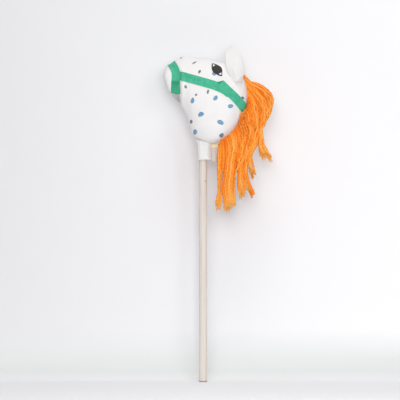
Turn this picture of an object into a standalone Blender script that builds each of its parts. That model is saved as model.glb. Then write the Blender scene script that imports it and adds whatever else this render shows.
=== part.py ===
"""Hobby horse: a stuffed cloth horse head with a yarn mane and a tape bridle on a round wooden stick.

Metres, +Z up. The origin is the centre of the stick's foot, the stick stands along +Z and the
nose points to -X, so the horse's left side faces -Y. Profiles are drawn in millimetres in the
X-Z plane, X from the stick's axis and Z from the underside of the neck, at the drawn head size.
"""

import math

import bmesh
import bpy
import numpy as np
from mathutils import Matrix, Vector
from mathutils.bvhtree import BVHTree

# Stick
STICK_DIAMETER = 0.022
STICK_LENGTH = 0.775
STICK_IN_HEAD = 0.1205
STICK_CHAMFER = 0.0012
STICK_SIDES = 32

# Head, whose profiles are drawn DRAWN_MM long and high
NECK_BASE_Z = STICK_LENGTH - STICK_IN_HEAD
HEAD_LENGTH = 0.2313
HEAD_HEIGHT = 0.2414
HEAD_WIDTH = 0.112
MUZZLE_WIDTH = 0.074
DRAWN_MM = (231.3, 241.4)
CLOTH = 0.0012
GAP = 0.0003
HEAD_RINGS = 29
HEAD_SIDES = 28

# Socket for the stick, a stiff card tube with a closed top
STICK_CLEARANCE = 0.0003
SOCKET_WALL = 0.0018
SOCKET_CAP = 0.003
SOCKET_FOOT = 0.013

# Neck sleeve and its sewn label
SLEEVE_DROP = 0.0459
SLEEVE_TUCK = 0.024
SLEEVE_LENGTH_X = 0.0378
SLEEVE_WIDTH_Y = 0.034
SLEEVE_SHIFT_X = 0.0038
LABEL_WIDTH = 0.0125
LABEL_LENGTH = 0.0415
LABEL_THICKNESS = 0.0006

# Bridle tape and eyes
TAPE_WIDTH = 0.024
TAPE_THICKNESS = 0.001
EYE_THICKNESS = 0.0008
NEAR_MIDDLE = 0.008

# Ears, two layers of cloth each
EAR_LAYER = 0.0013
EAR_CUP = 0.009
EAR_LEAN = 0.006
EAR_SEAT = 0.0006

# Mane
ROOT_TAPE_WIDTH = 0.018
ROOT_TAPE_THICKNESS = 0.0016
LOCK_GAP = 0.0008
LOCK_DEPTH = 0.024
LOCK_RINGS = 15
LOCK_SIDES = 10
FALL_SWING_DEG = 40
FALL_HINGE = (64.0, 12.9)
FALL_AXIS = (0.78, 0.626)
ROOT_CORD_DIAMETER = 0.008
ROOT_CORD_LENGTH = 0.06

# How far cutters reach past what they cut
PAST = 0.01

# Stations of the head from the nose to the neck's underside: top point, lower point, and the
# width there as parts of the muzzle's width and of the head's width.
HEAD_STATIONS = (
    ((-109.7, 182.0), (-109.7, 182.0), 0.00, 0.0),
    ((-105.9, 202.0), (-105.0, 165.0), 0.62, 0.0),
    ((-98.2, 216.0), (-96.8, 147.5), 0.84, 0.0),
    ((-86.9, 223.3), (-85.8, 132.6), 0.95, 0.0),
    ((-73.1, 231.6), (-73.7, 120.2), 0.90, 0.08),
    ((-51.1, 241.4), (-63.5, 112.7), 0.35, 0.58),
    ((-25.0, 237.6), (-57.2, 106.7), 0.00, 0.91),
    ((5.2, 234.9), (-52.0, 96.2), 0.0, 0.98),
    ((38.2, 227.4), (-46.2, 79.8), 0.0, 1.00),
    ((71.2, 214.5), (-40.7, 60.5), 0.0, 1.00),
    ((100.1, 195.8), (-35.5, 44.6), 0.0, 0.99),
    ((116.6, 167.7), (-30.5, 33.0), 0.0, 0.97),
    ((121.6, 134.7), (-25.6, 24.2), 0.0, 0.95),
    ((117.4, 103.1), (-20.9, 17.9), 0.0, 0.92),
    ((107.0, 74.2), (-15.1, 12.6), 0.0, 0.87),
    ((90.5, 48.1), (-8.5, 8.3), 0.0, 0.79),
    ((69.9, 26.1), (1.1, 4.7), 0.0, 0.64),
    ((47.9, 11.0), (13.5, 1.6), 0.0, 0.38),
    ((31.4, 0.3), (31.4, 0.3), 0.0, 0.0),
)

# Centre lines of the bridle on the side of the head
NOSEBAND_LINE = ((-99.5, 243.4), (-87.4, 221.6), (-75.6, 199.4), (-74.8, 176.0), (-75.6, 148.5), (-74.8, 105.0))
CHEEK_LINE = ((-66.0, 187.6), (-22.3, 175.7), (12.1, 165.9))
STRAP_CORNER = (42.5, 155.8)
NAPE_LINE = ((63.0, 146.5), (82.2, 128.1), (101.5, 108.4), (135.0, 74.5))

EYE_OUTLINE = (
    (24.0, 221.0), (32.5, 220.8), (40.5, 218.4), (48.5, 212.0), (53.2, 203.0), (53.4, 193.5),
    (51.0, 186.6), (46.5, 185.8), (35.2, 191.1), (25.3, 197.2), (22.6, 204.5), (22.3, 214.0),
)

EAR_FRONT_EDGE = ((82.5, 172.0), (78.5, 181.0), (66.5, 201.5), (62.0, 219.0), (61.6, 239.0), (63.5, 256.5), (77.5, 269.0))
EAR_REAR_EDGE = ((104.5, 171.0), (110.8, 188.0), (111.4, 206.0), (107.8, 226.0), (100.1, 243.5), (91.0, 260.0), (82.0, 269.5))

# Lines between neighbouring locks of the mane, each from its root on the neck to the tip
MANE_LINES = (
    ((110.5, 186.0), (121.0, 181.5), (129.0, 174.0), (151.0, 167.7), (175.7, 151.2), (192.2, 129.3), (195.0, 107.2),
     (184.0, 79.8), (171.6, 52.2), (167.5, 27.5), (171.6, 2.7), (181.2, -24.7), (191.2, -50.2)),
    ((116.0, 155.5), (124.5, 147.0), (136.5, 130.5), (148.9, 103.0), (154.8, 71.5), (153.5, 38.5), (151.0, 8.5),
     (149.2, -19.0), (151.8, -52.0)),
    ((117.0, 125.0), (124.0, 115.0), (131.0, 92.0), (134.0, 55.0), (130.4, 19.2), (122.1, -16.5), (123.5, -52.2),
     (134.0, -86.5)),
    ((106.5, 84.5), (114.5, 72.0), (123.0, 49.0), (126.2, 16.5), (119.9, -16.5), (120.7, -52.2), (128.0, -93.5),
     (141.0, -140.0)),
    ((86.5, 52.5), (96.0, 37.0), (101.5, 11.0), (98.0, -22.0), (94.1, -52.2), (92.7, -93.5), (93.0, -126.5),
     (93.0, -165.0)),
    ((49.5, 17.0), (53.0, 2.0), (57.0, -30.0), (57.0, -57.7), (54.8, -93.5), (53.5, -126.5), (55.0, -185.0)),
    ((32.5, 7.0), (35.0, -8.0), (35.5, -30.0), (36.0, -71.5), (39.0, -107.2), (38.5, -134.7), (36.5, -168.0)),
)


def drawn(point):
    """A drawn point (mm) as X and Z in metres, at the head's real length and height."""
    return point[0] / DRAWN_MM[0] * HEAD_LENGTH, NECK_BASE_Z + point[1] / DRAWN_MM[1] * HEAD_HEIGHT


def spline(knots, values, at):
    """Natural cubic spline through the values at the knots, read at the places in at."""
    knots, values, at = (np.asarray(item, float) for item in (knots, values, at))
    step = np.diff(knots)
    rows = len(knots)
    system, right = np.eye(rows), np.zeros_like(values)
    for i in range(1, rows - 1):
        system[i, i - 1:i + 2] = step[i - 1], 2 * (step[i - 1] + step[i]), step[i]
        right[i] = 6 * ((values[i + 1] - values[i]) / step[i] - (values[i] - values[i - 1]) / step[i - 1])
    bend = np.linalg.solve(system, right)
    i = np.clip(np.searchsorted(knots, at, side="right") - 1, 0, rows - 2)
    h, left, rest = step[i][:, None], (at - knots[i])[:, None], (knots[i + 1] - at)[:, None]
    return (bend[i] * rest ** 3 / (6 * h) + bend[i + 1] * left ** 3 / (6 * h)
            + (values[i] / h - bend[i] * h / 6) * rest + (values[i + 1] / h - bend[i + 1] * h / 6) * left)


def resampled(points, count):
    """Evenly spaced points on the smooth curve through the given points."""
    points = np.asarray(points, float)
    knots = np.concatenate([[0], np.cumsum(np.linalg.norm(np.diff(points, axis=0), axis=1))])
    return spline(knots, points, np.linspace(0, knots[-1], count))


def material(name, colour, roughness):
    """A plain Principled material, colour given as an sRGB hex string."""
    made = bpy.data.materials.new(name)
    made.use_nodes = True
    parts = [int(colour[i:i + 2], 16) / 255 for i in (0, 2, 4)]
    linear = [c / 12.92 if c <= 0.04045 else ((c + 0.055) / 1.055) ** 2.4 for c in parts]
    shader = made.node_tree.nodes["Principled BSDF"]
    shader.inputs["Base Color"].default_value = (*linear, 1)
    shader.inputs["Roughness"].default_value = roughness
    made.diffuse_color = (*linear, 1)
    return made


def finish(name, bm, paint=None, parent=None, origin=(0, 0, 0), smooth=35):
    """An object from a closed bmesh, with faces out, its origin on its joint and smooth shading."""
    bmesh.ops.recalc_face_normals(bm, faces=bm.faces)
    bmesh.ops.translate(bm, verts=bm.verts, vec=-Vector(origin))
    mesh = bpy.data.meshes.new(name)
    bm.to_mesh(mesh)
    bm.free()
    obj = bpy.data.objects.new(name, mesh)
    obj.location = origin
    bpy.context.scene.collection.objects.link(obj)
    if paint:
        mesh.materials.append(paint)
    if parent:
        obj.parent = parent
        obj.location = Vector(origin) - parent_place(parent)
    mesh.shade_smooth()
    mesh.set_sharp_from_angle(angle=math.radians(smooth))
    return obj


def parent_place(obj):
    """World place of an object whose parents only move it."""
    place = Vector(obj.location)
    while obj.parent:
        obj = obj.parent
        place += obj.location
    return place


def joint_empty(name, place, parent):
    """An empty on a joint's axis that carries the pieces of one moving body."""
    empty = bpy.data.objects.new(name, None)
    empty.empty_display_size = 0.02
    empty.parent = parent
    empty.location = Vector(place) - (parent_place(parent) if parent else Vector())
    bpy.context.scene.collection.objects.link(empty)
    return empty


def cutter(obj):
    """Marks an object as a helper that only cuts others."""
    obj.hide_render = True
    obj.display_type = "WIRE"
    return obj


def boolean(obj, other, operation):
    """Adds a Boolean modifier to obj."""
    change = obj.modifiers.new(f"{operation.lower()}_{other.name}"[:60], "BOOLEAN")
    change.object = other
    change.operation = operation
    change.solver = "EXACT"


def swept_past(name, source, place, axis, degrees, steps=4):
    """Cutters shaped as source, placed as a piece meets it while it turns about an axis through place."""
    place = Vector(place)
    copies = []
    for step in range(1, steps + 1):
        turn = Matrix.Rotation(math.radians(-degrees * step / steps), 4, Vector(axis))
        copy = bpy.data.objects.new(f"cut_{name}_{step}", source.data)
        copy.matrix_world = Matrix.Translation(place) @ turn @ Matrix.Translation(-place)
        bpy.context.scene.collection.objects.link(copy)
        copies.append(cutter(copy))
    return copies


def turned(profile, sides, centre=(0, 0)):
    """Closed bmesh of a (radius, z) profile turned about a vertical axis, flat at both ends."""
    bm = bmesh.new()
    rings = []
    for radius, z in profile:
        angles = (2 * math.pi * k / sides for k in range(sides))
        rings.append([bm.verts.new((centre[0] + radius * math.cos(a), centre[1] + radius * math.sin(a), z))
                      for a in angles])
    for low, high in zip(rings, rings[1:]):
        for k in range(sides):
            bm.faces.new((low[k], low[(k + 1) % sides], high[(k + 1) % sides], high[k]))
    bm.faces.new(rings[0])
    bm.faces.new(rings[-1])
    return bm


def prism(outline, low_y, high_y):
    """Closed bmesh of an outline of (x, z) points, run from low_y to high_y."""
    bm = bmesh.new()
    near = [bm.verts.new((x, low_y, z)) for x, z in outline]
    far = [bm.verts.new((x, high_y, z)) for x, z in outline]
    count = len(outline)
    bm.faces.new(near)
    bm.faces.new(far)
    for k in range(count):
        bm.faces.new((near[k], near[(k + 1) % count], far[(k + 1) % count], far[k]))
    bmesh.ops.triangulate(bm, faces=[f for f in bm.faces if len(f.verts) > 4])
    return bm


def split_quad(bm, a, b, c, d):
    """Two triangles with the edge a-c, so that layers one over another are split alike."""
    bm.faces.new((a, b, c))
    bm.faces.new((a, c, d))


class Head:
    """The outer surface of the stuffed head, as rings between a nose point and a neck point."""

    def __init__(self):
        tops = np.array([drawn(station[0]) for station in HEAD_STATIONS])
        lows = np.array([drawn(station[1]) for station in HEAD_STATIONS])
        half = np.array([(station[2] * MUZZLE_WIDTH + station[3] * HEAD_WIDTH) / 2 for station in HEAD_STATIONS])
        steps = (np.linalg.norm(np.diff(tops, axis=0), axis=1) + np.linalg.norm(np.diff(lows, axis=0), axis=1)) / 2
        knots = np.concatenate([[0], np.cumsum(steps)])
        at = np.linspace(0, knots[-1], HEAD_RINGS + 2)[1:-1]
        read = spline(knots, np.column_stack([tops, lows, half]), at)
        self.first = Vector((tops[0][0], 0, tops[0][1]))
        self.last = Vector((tops[-1][0], 0, tops[-1][1]))
        self.rings = [self.ring(row) for row in read]
        base = self.mesh_of(self.first, self.rings, self.last)
        base.normal_update()
        base.verts.ensure_lookup_table()
        normals = [vert.normal.copy() for vert in base.verts]
        self.normals = normals
        base.free()

    @staticmethod
    def ring(row):
        """One ring: an oval from the top point over the left side to the low point and back."""
        top, low, half = Vector((row[0], 0, row[1])), Vector((row[2], 0, row[3])), row[4]
        points = []
        for k in range(HEAD_SIDES):
            angle = 2 * math.pi * k / HEAD_SIDES
            along = math.cos(angle)
            across = math.sin(angle)
            points.append((top + low) / 2 + (top - low) / 2 * along + Vector((0, -half * across, 0)))
        return points

    @staticmethod
    def mesh_of(first, rings, last):
        """Closed bmesh of the rings with a point at each end."""
        bm = bmesh.new()
        start = bm.verts.new(first)
        made = [[bm.verts.new(point) for point in ring] for ring in rings]
        end = bm.verts.new(last)
        sides = len(rings[0])
        for k in range(sides):
            bm.faces.new((start, made[0][(k + 1) % sides], made[0][k]))
            bm.faces.new((end, made[-1][k], made[-1][(k + 1) % sides]))
        for low, high in zip(made, made[1:]):
            for k in range(sides):
                one, two = (k, (k + 1) % sides) if k < sides // 2 else ((k + 1) % sides, k)
                split_quad(bm, low[one], low[two], high[two], high[one])
        bmesh.ops.recalc_face_normals(bm, faces=bm.faces)
        return bm

    def offset(self, distance):
        """The end points and rings moved out along the surface by a distance."""
        first = self.first + self.normals[0] * distance
        last = self.last + self.normals[-1] * distance
        rings = [[point + self.normals[1 + i * HEAD_SIDES + k] * distance for k, point in enumerate(ring)]
                 for i, ring in enumerate(self.rings)]
        return first, rings, last

    def solid(self, distance):
        """Closed bmesh of the surface moved out by a distance."""
        return self.mesh_of(*self.offset(distance))

    def half_shell(self, side, outer, inner):
        """Closed bmesh of one side's cloth: side is -1 on the horse's left and 1 on its right."""
        bm = bmesh.new()
        half = HEAD_SIDES // 2
        order = [k if side < 0 else (HEAD_SIDES - k) % HEAD_SIDES for k in range(half + 1)]

        def row(points):
            made = []
            for place in points:
                shifted = Vector(place)
                if abs(shifted.y) < GAP / 2:
                    shifted.y = side * GAP / 2
                made.append(bm.verts.new(shifted))
            return made

        layers = []
        for distance in (outer, inner):
            first, rings, last = self.offset(distance)
            ends = row([first])[0], row([last])[0]
            layers.append((ends[0], [row([ring[k] for k in order]) for ring in rings], ends[1]))
        for start, made, end in layers:
            for k in range(half):
                bm.faces.new((start, made[0][k], made[0][k + 1]))
                bm.faces.new((end, made[-1][k], made[-1][k + 1]))
            for low, high in zip(made, made[1:]):
                for k in range(half):
                    split_quad(bm, low[k], low[k + 1], high[k + 1], high[k])
        (start_a, made_a, end_a), (start_b, made_b, end_b) = layers
        for k in (0, half):
            outer_edge = [start_a] + [ring[k] for ring in made_a] + [end_a]
            inner_edge = [start_b] + [ring[k] for ring in made_b] + [end_b]
            for i in range(len(outer_edge) - 1):
                bm.faces.new((outer_edge[i], outer_edge[i + 1], inner_edge[i + 1], inner_edge[i]))
        return bm


def band_outline(line, width, first_cut=0.0, last_cut=0.0):
    """Two edges of a tape along a centre line of (x, z) points, mitred at its corners."""
    line = [Vector(point) for point in line]
    left, right = [], []
    for i, point in enumerate(line):
        back = (point - line[i - 1]).normalized() if i else (line[1] - point).normalized()
        ahead = (line[i + 1] - point).normalized() if i + 1 < len(line) else back
        mean = (back + ahead).normalized()
        across = Vector((-mean.y, mean.x)) * (width / 2 / max(0.3, mean.dot(back)))
        shift = mean * (first_cut if i == 0 else -last_cut if i + 1 == len(line) else 0)
        left.append(point + across + shift)
        right.append(point - across + shift)
    return left, right


def strap(name, edges, head, paint, parent, sides=(-1, 1), clear_of=None):
    """Tape laid on the head inside an outline in the X-Z plane, cut back from a neighbour."""
    left, right = edges
    outline = [tuple(point) for point in left] + [tuple(point) for point in reversed(right)]
    low, high = (-HEAD_WIDTH if -1 in sides else NEAR_MIDDLE), (HEAD_WIDTH if 1 in sides else -NEAR_MIDDLE)
    obj = finish(name, prism(outline, low, high), paint, parent)
    if clear_of:
        boolean(obj, clear_of, "DIFFERENCE")
    boolean(obj, head["tape_out"], "INTERSECT")
    boolean(obj, head["tape_in"], "DIFFERENCE")
    return obj


def layered_sheet(name, grid, depth, paint, parent, origin):
    """Closed sheet between a grid of points and the same grid moved by depth along Y."""
    bm = bmesh.new()
    front = [[bm.verts.new(point) for point in row] for row in grid]
    back = [[bm.verts.new(point + Vector((0, depth, 0))) for point in row] for row in grid]
    for layer in (front, back):
        for low, high in zip(layer, layer[1:]):
            for k in range(len(low) - 1):
                bm.faces.new((low[k], low[k + 1], high[k + 1], high[k]))

    def rim(layer):
        return (layer[0] + [row[-1] for row in layer[1:]] + layer[-1][-2::-1]
                + [row[0] for row in layer[-2:0:-1]])

    a, b = rim(front), rim(back)
    for k in range(len(a)):
        bm.faces.new((a[k], a[(k + 1) % len(a)], b[(k + 1) % len(a)], b[k]))
    return finish(name, bm, paint, parent, origin)


def surface_y(tree, x, z, side):
    """Y of the head's outer surface at a place in the X-Z plane, or 0 outside its outline."""
    hit = tree.ray_cast(Vector((x, side * 1.0, z)), Vector((0, -side, 0)))[0]
    return hit.y if hit else 0.0


def make_ear(side, tree, paint, head_empty):
    """Both layers of one ear on an empty at its sewn foot, about which it bends."""
    word = "left" if side < 0 else "right"
    front = [drawn(point) for point in resampled(EAR_FRONT_EDGE, 12)]
    rear = [drawn(point) for point in resampled(EAR_REAR_EDGE, 12)]
    foot = ((front[0][0] + rear[0][0]) / 2, min(front[0][1], rear[0][1]))
    seat_y = surface_y(tree, foot[0], foot[1], side)
    outermost = max(abs(surface_y(tree, x, z, side)) for x, z in (front[0], rear[0]))
    hinge_y = side * (outermost + EAR_SEAT + 2 * EAR_LAYER + GAP)
    pivot = joint_empty(f"ear_{word}_base", (foot[0], hinge_y, foot[1]), head_empty)
    columns, rows = 7, len(front)
    layers = []
    for depth in (EAR_SEAT, EAR_SEAT + EAR_LAYER + GAP):
        grid = []
        for i in range(rows):
            t = i / (rows - 1)
            line = []
            for k in range(columns):
                v = k / (columns - 1)
                x = front[i][0] * (1 - v) + rear[i][0] * v
                z = front[i][1] * (1 - v) + rear[i][1] * v
                swell = EAR_CUP * math.sin(math.pi * min(1, 0.25 + t)) * (1 - (2 * v - 1) ** 2)
                flat = abs(seat_y) + EAR_LEAN * t + max(0.0, swell)
                skin = abs(surface_y(tree, x, z, side))
                line.append(Vector((x, side * (max(flat, skin) + depth), z)))
            grid.append(line)
        layers.append(grid)
    for layer, grid in zip(("lining", "outer"), layers):
        layered_sheet(f"ear_{word}_{layer}", grid, side * EAR_LAYER, paint, pivot, parent_place(pivot))


def mane_lock(name, edges, side, paint, parent, origin, keep_off):
    """One flat lock of yarn between two lines of the mane, cut back from what its root rests on."""
    one, two = (np.array([drawn(point) for point in resampled(edge, LOCK_RINGS)]) for edge in edges)
    bm = bmesh.new()
    rings = []
    for i in range(LOCK_RINGS):
        t = i / (LOCK_RINGS - 1)
        span = one[i] - two[i]
        width = np.linalg.norm(span)
        across = span / width
        fill = 1.0 if t < 0.8 else 1.0 - 0.45 * ((t - 0.8) / 0.2) ** 2
        half = (width / 2 - LOCK_GAP / 2) * fill
        swell = min(1.0, 0.30 + 3.2 * t) * (1.0 if t < 0.7 else 1.0 - 0.6 * ((t - 0.7) / 0.3) ** 2)
        depth = LOCK_DEPTH / 2 * swell
        centre = (one[i] + two[i]) / 2
        ring = []
        for k in range(LOCK_SIDES):
            angle = 2 * math.pi * (k + 0.5) / LOCK_SIDES
            place = centre + across * half * math.cos(angle)
            y = side * (LOCK_GAP / 2 + depth * (1 + math.sin(angle)))
            ring.append(bm.verts.new((place[0], y, place[1])))
        rings.append(ring)
    for low, high in zip(rings, rings[1:]):
        for k in range(LOCK_SIDES):
            bm.faces.new((low[k], low[(k + 1) % LOCK_SIDES], high[(k + 1) % LOCK_SIDES], high[k]))
    bm.faces.new(rings[0])
    bm.faces.new(rings[-1])
    obj = finish(name, bm, paint, parent, origin, smooth=60)
    for other in keep_off:
        boolean(obj, other, "DIFFERENCE")
    return obj


def between(one, two):
    """The line half way between two lines of the mane."""
    return tuple(tuple(point) for point in (resampled(one, 12) + resampled(two, 12)) / 2)


def main():
    for obj in list(bpy.data.objects):
        bpy.data.objects.remove(obj, do_unlink=True)

    wood = material("birch_dowel", "E6DCD2", 0.45)
    cotton = material("printed_white_cotton", "F2EFEF", 0.9)
    plain = material("plain_white_cotton", "F3F0EF", 0.9)
    filling = material("polyester_filling", "EFEFEA", 1.0)
    card = material("card_tube", "B49A74", 0.9)
    tape = material("green_cotton_tape", "4CB591", 0.8)
    black = material("black_felt_eye", "333331", 0.6)
    yarn = material("orange_yarn", "FD8B3C", 0.95)
    satin = material("woven_label", "E9E4D8", 0.6)

    # Stick
    radius = STICK_DIAMETER / 2
    profile = ((radius - STICK_CHAMFER, 0), (radius, STICK_CHAMFER), (radius, STICK_LENGTH - STICK_CHAMFER),
               (radius - STICK_CHAMFER, STICK_LENGTH))
    stick = finish("stick", turned(profile, STICK_SIDES), wood)
    head_empty = joint_empty("head_body", (0, 0, NECK_BASE_Z), stick)

    # Surfaces that the pieces on the head lie between
    surface = Head()
    head = {
        "tape_in": cutter(finish("cut_tape_in", surface.solid(GAP))),
        "tape_out": cutter(finish("cut_tape_out", surface.solid(GAP + TAPE_THICKNESS))),
        "eye_out": cutter(finish("cut_eye_out", surface.solid(GAP + EYE_THICKNESS))),
        "root_out": cutter(finish("cut_root_out", surface.solid(GAP + ROOT_TAPE_THICKNESS))),
        "yarn_in": cutter(finish("cut_yarn_in", surface.solid(2 * GAP + ROOT_TAPE_THICKNESS))),
    }
    tree = BVHTree.FromBMesh(surface.solid(0))

    # Stuffing, socket and cloth
    bore = radius + STICK_CLEARANCE
    tube = bore + SOCKET_WALL
    low, top = NECK_BASE_Z + SOCKET_FOOT, STICK_LENGTH + GAP
    hollow = cutter(finish("cut_socket_bore", turned(((bore, low - PAST), (bore, top)), STICK_SIDES)))
    socket = finish("socket_tube", turned(((tube, low), (tube, top + SOCKET_CAP)), STICK_SIDES), card, head_empty)
    boolean(socket, hollow, "DIFFERENCE")
    core = finish("head_stuffing", surface.solid(-CLOTH - GAP), filling, head_empty)
    seat = cutter(finish("cut_stuffing_bore", turned(
        ((tube + GAP, NECK_BASE_Z - PAST), (tube + GAP, top + SOCKET_CAP + GAP)), STICK_SIDES)))
    boolean(core, seat, "DIFFERENCE")
    mouth = cutter(finish("cut_cloth_hole", turned(
        ((bore, NECK_BASE_Z - PAST), (bore, low + PAST)), STICK_SIDES)))
    for side, word in ((-1, "left"), (1, "right")):
        cloth = finish(f"head_cloth_{word}", surface.half_shell(side, 0, -CLOTH), cotton, head_empty)
        boolean(cloth, mouth, "DIFFERENCE")

    # Neck sleeve and label
    def oval(shrink, low_z, high_z):
        bm = turned(((1, low_z), (1, high_z)), 40)
        for vert in bm.verts:
            vert.co.x = SLEEVE_SHIFT_X + vert.co.x * (SLEEVE_LENGTH_X / 2 - shrink)
            vert.co.y *= SLEEVE_WIDTH_Y / 2 - shrink
        return bm

    hem, sleeve_top = NECK_BASE_Z - SLEEVE_DROP, NECK_BASE_Z + SLEEVE_TUCK
    sleeve = finish("neck_sleeve", oval(0, hem, sleeve_top), plain, head_empty)
    boolean(sleeve, cutter(finish("cut_sleeve", oval(CLOTH, hem - PAST, sleeve_top + PAST))), "DIFFERENCE")
    boolean(sleeve, head["tape_in"], "DIFFERENCE")
    label_x = SLEEVE_SHIFT_X + SLEEVE_LENGTH_X / 2 + GAP
    label_outline = ((label_x, NECK_BASE_Z - LABEL_LENGTH), (label_x + LABEL_WIDTH, NECK_BASE_Z - LABEL_LENGTH),
                     (label_x + LABEL_WIDTH, sleeve_top), (label_x, sleeve_top))
    label = finish("sewn_label", prism(label_outline, -LABEL_THICKNESS / 2, LABEL_THICKNESS / 2), satin, head_empty)
    boolean(label, head["tape_in"], "DIFFERENCE")

    # Bridle
    strap("noseband", band_outline([drawn(p) for p in NOSEBAND_LINE], TAPE_WIDTH), head, tape, head_empty)
    cheek_line = [drawn(p) for p in (*CHEEK_LINE, STRAP_CORNER, *NAPE_LINE)]
    left, right = band_outline(cheek_line, TAPE_WIDTH)
    corner = len(CHEEK_LINE)
    along = (Vector(cheek_line[corner + 1]) - Vector(cheek_line[corner - 1])).normalized() * GAP
    band = band_outline([drawn(p) for p in NOSEBAND_LINE], TAPE_WIDTH + 2 * GAP)
    outline = [tuple(p) for p in band[0]] + [tuple(p) for p in reversed(band[1])]
    beside = cutter(finish("cut_beside_noseband", prism(outline, -2 * HEAD_WIDTH, 2 * HEAD_WIDTH)))
    for side, word in ((-1, "left"), (1, "right")):
        edges = left[:corner] + [left[corner] - along], right[:corner] + [right[corner] - along]
        strap(f"cheek_strap_{word}", edges, head, tape, head_empty, (side,), beside)
    strap("nape_strap", ([left[corner] + along] + left[corner + 1:], [right[corner] + along] + right[corner + 1:]),
          head, tape, head_empty)

    # Eyes
    eye = resampled([drawn(p) for p in (*EYE_OUTLINE, EYE_OUTLINE[0])], 25)[:-1]
    for side, word in ((-1, "left"), (1, "right")):
        span = sorted((side * HEAD_WIDTH, side * NEAR_MIDDLE))
        patch = finish(f"eye_{word}", prism([tuple(p) for p in eye], *span), black, head_empty)
        boolean(patch, head["eye_out"], "INTERSECT")
        boolean(patch, head["tape_in"], "DIFFERENCE")

    # Ears
    for side in (-1, 1):
        make_ear(side, tree, plain, head_empty)

    # Mane: root tapes above and below the nape strap, then the locks of both sides
    spans = {
        "mane_tape_upper": ((104.0, 190.0), (132.0, 190.0), (140.0, 121.5), (108.0, 124.5)),
        "mane_tape_lower": ((86.0, 74.0), (118.0, 88.0), (118.0, 40.0), (60.0, -20.0), (37.5, -20.0), (37.5, 16.0)),
    }
    wide = band_outline(cheek_line, TAPE_WIDTH + 2 * GAP)
    outline = [tuple(p) for p in wide[0][corner:]] + [tuple(p) for p in reversed(wide[1][corner:])]
    under_strap = cutter(finish("cut_beside_nape", prism(outline, -HEAD_WIDTH, HEAD_WIDTH)))
    for name, outline in spans.items():
        piece = finish(name, prism([drawn(p) for p in outline], -ROOT_TAPE_WIDTH / 2, ROOT_TAPE_WIDTH / 2),
                       plain, head_empty)
        boolean(piece, under_strap, "DIFFERENCE")
        boolean(piece, head["root_out"], "INTERSECT")
        boolean(piece, head["tape_in"], "DIFFERENCE")
    hinge = drawn(FALL_HINGE)
    cord_radius, cord_half = ROOT_CORD_DIAMETER / 2, ROOT_CORD_LENGTH / 2
    along, square = Vector(FALL_AXIS).normalized(), Vector((-FALL_AXIS[1], FALL_AXIS[0])).normalized()
    lie = Matrix.Translation((hinge[0], 0, hinge[1])) @ Vector((along.x, 0, along.y)).to_track_quat("Z", "Y").to_matrix().to_4x4()
    cord = turned(((cord_radius * 0.7, -cord_half), (cord_radius, 0.002 - cord_half), (cord_radius, cord_half - 0.002),
                   (cord_radius * 0.7, cord_half)), 16)
    cord.transform(lie)
    finish("mane_root_cord", cord, yarn, head_empty)
    room = turned(((cord_radius + GAP, -2 * cord_half), (cord_radius + GAP, 2 * cord_half)), 16)
    room.transform(lie)
    round_cord = cutter(finish("cut_round_cord", room))
    ends = [Vector(hinge) - along * HEAD_LENGTH, Vector(hinge) + along * HEAD_LENGTH]
    outline = [tuple(p) for p in (*ends, ends[1] + square * HEAD_LENGTH, ends[0] + square * HEAD_LENGTH)]
    behind_cord = cutter(finish("cut_behind_cord", prism(outline, -HEAD_WIDTH, HEAD_WIDTH)))
    shifted = [MANE_LINES[0]] + [between(a, b) for a, b in zip(MANE_LINES[:-2], MANE_LINES[1:-1])] + [MANE_LINES[-1]]
    for side, word, lines in ((-1, "left", MANE_LINES), (1, "right", shifted)):
        swing = joint_empty(f"mane_fall_{word}", (hinge[0], 0, hinge[1]), head_empty)
        swept = swept_past(f"fall_{word}", head["yarn_in"], (hinge[0], 0, hinge[1]),
                           (side * FALL_AXIS[0], 0, side * FALL_AXIS[1]), FALL_SWING_DEG)
        for k, edges in enumerate(zip(lines, lines[1:])):
            falling = k >= len(lines) - 3
            carrier = swing if falling else head_empty
            mane_lock(f"mane_{'fall' if falling else 'crest'}_{word}_{k + 1}", edges, side, yarn, carrier,
                      parent_place(carrier), [behind_cord, round_cord] + swept if falling else [head["yarn_in"]])


main()
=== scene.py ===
"""Looks of a hobby horse: a stuffed cloth head with a yarn mane and a tape bridle on a wooden stick.

Metres, +Z up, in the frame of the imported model: the origin is the centre of the stick's foot and the
nose points to -X, so the horse's left side faces -Y. Profiles are drawn in millimetres in the X-Z
plane, X from the stick's axis and Z from the underside of the neck.
"""

import sys
import logging
import math
from dataclasses import dataclass, field
from enum import Enum
from typing import Optional, Sequence

import bpy
import numpy as np
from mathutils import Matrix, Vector, noise
from mathutils.bvhtree import BVHTree


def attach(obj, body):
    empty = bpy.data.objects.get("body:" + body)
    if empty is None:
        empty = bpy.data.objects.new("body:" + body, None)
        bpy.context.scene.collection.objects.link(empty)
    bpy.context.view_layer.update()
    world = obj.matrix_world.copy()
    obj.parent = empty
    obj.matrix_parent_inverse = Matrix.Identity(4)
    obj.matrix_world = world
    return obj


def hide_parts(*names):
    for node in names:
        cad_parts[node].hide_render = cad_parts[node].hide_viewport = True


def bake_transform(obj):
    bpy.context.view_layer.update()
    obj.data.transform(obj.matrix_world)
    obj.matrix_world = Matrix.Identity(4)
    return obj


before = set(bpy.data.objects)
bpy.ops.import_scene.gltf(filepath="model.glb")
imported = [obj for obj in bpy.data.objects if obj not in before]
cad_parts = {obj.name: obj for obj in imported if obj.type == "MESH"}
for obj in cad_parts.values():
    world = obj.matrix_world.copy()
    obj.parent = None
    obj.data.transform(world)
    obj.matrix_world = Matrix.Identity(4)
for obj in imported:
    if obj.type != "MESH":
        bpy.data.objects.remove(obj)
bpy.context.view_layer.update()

LOG = logging.getLogger("hobby_horse")
Piece, Paint, Tree = bpy.types.Object, bpy.types.Material, bpy.types.NodeTree
Source = bpy.types.Node | bpy.types.NodeSocket
Array = np.ndarray

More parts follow.
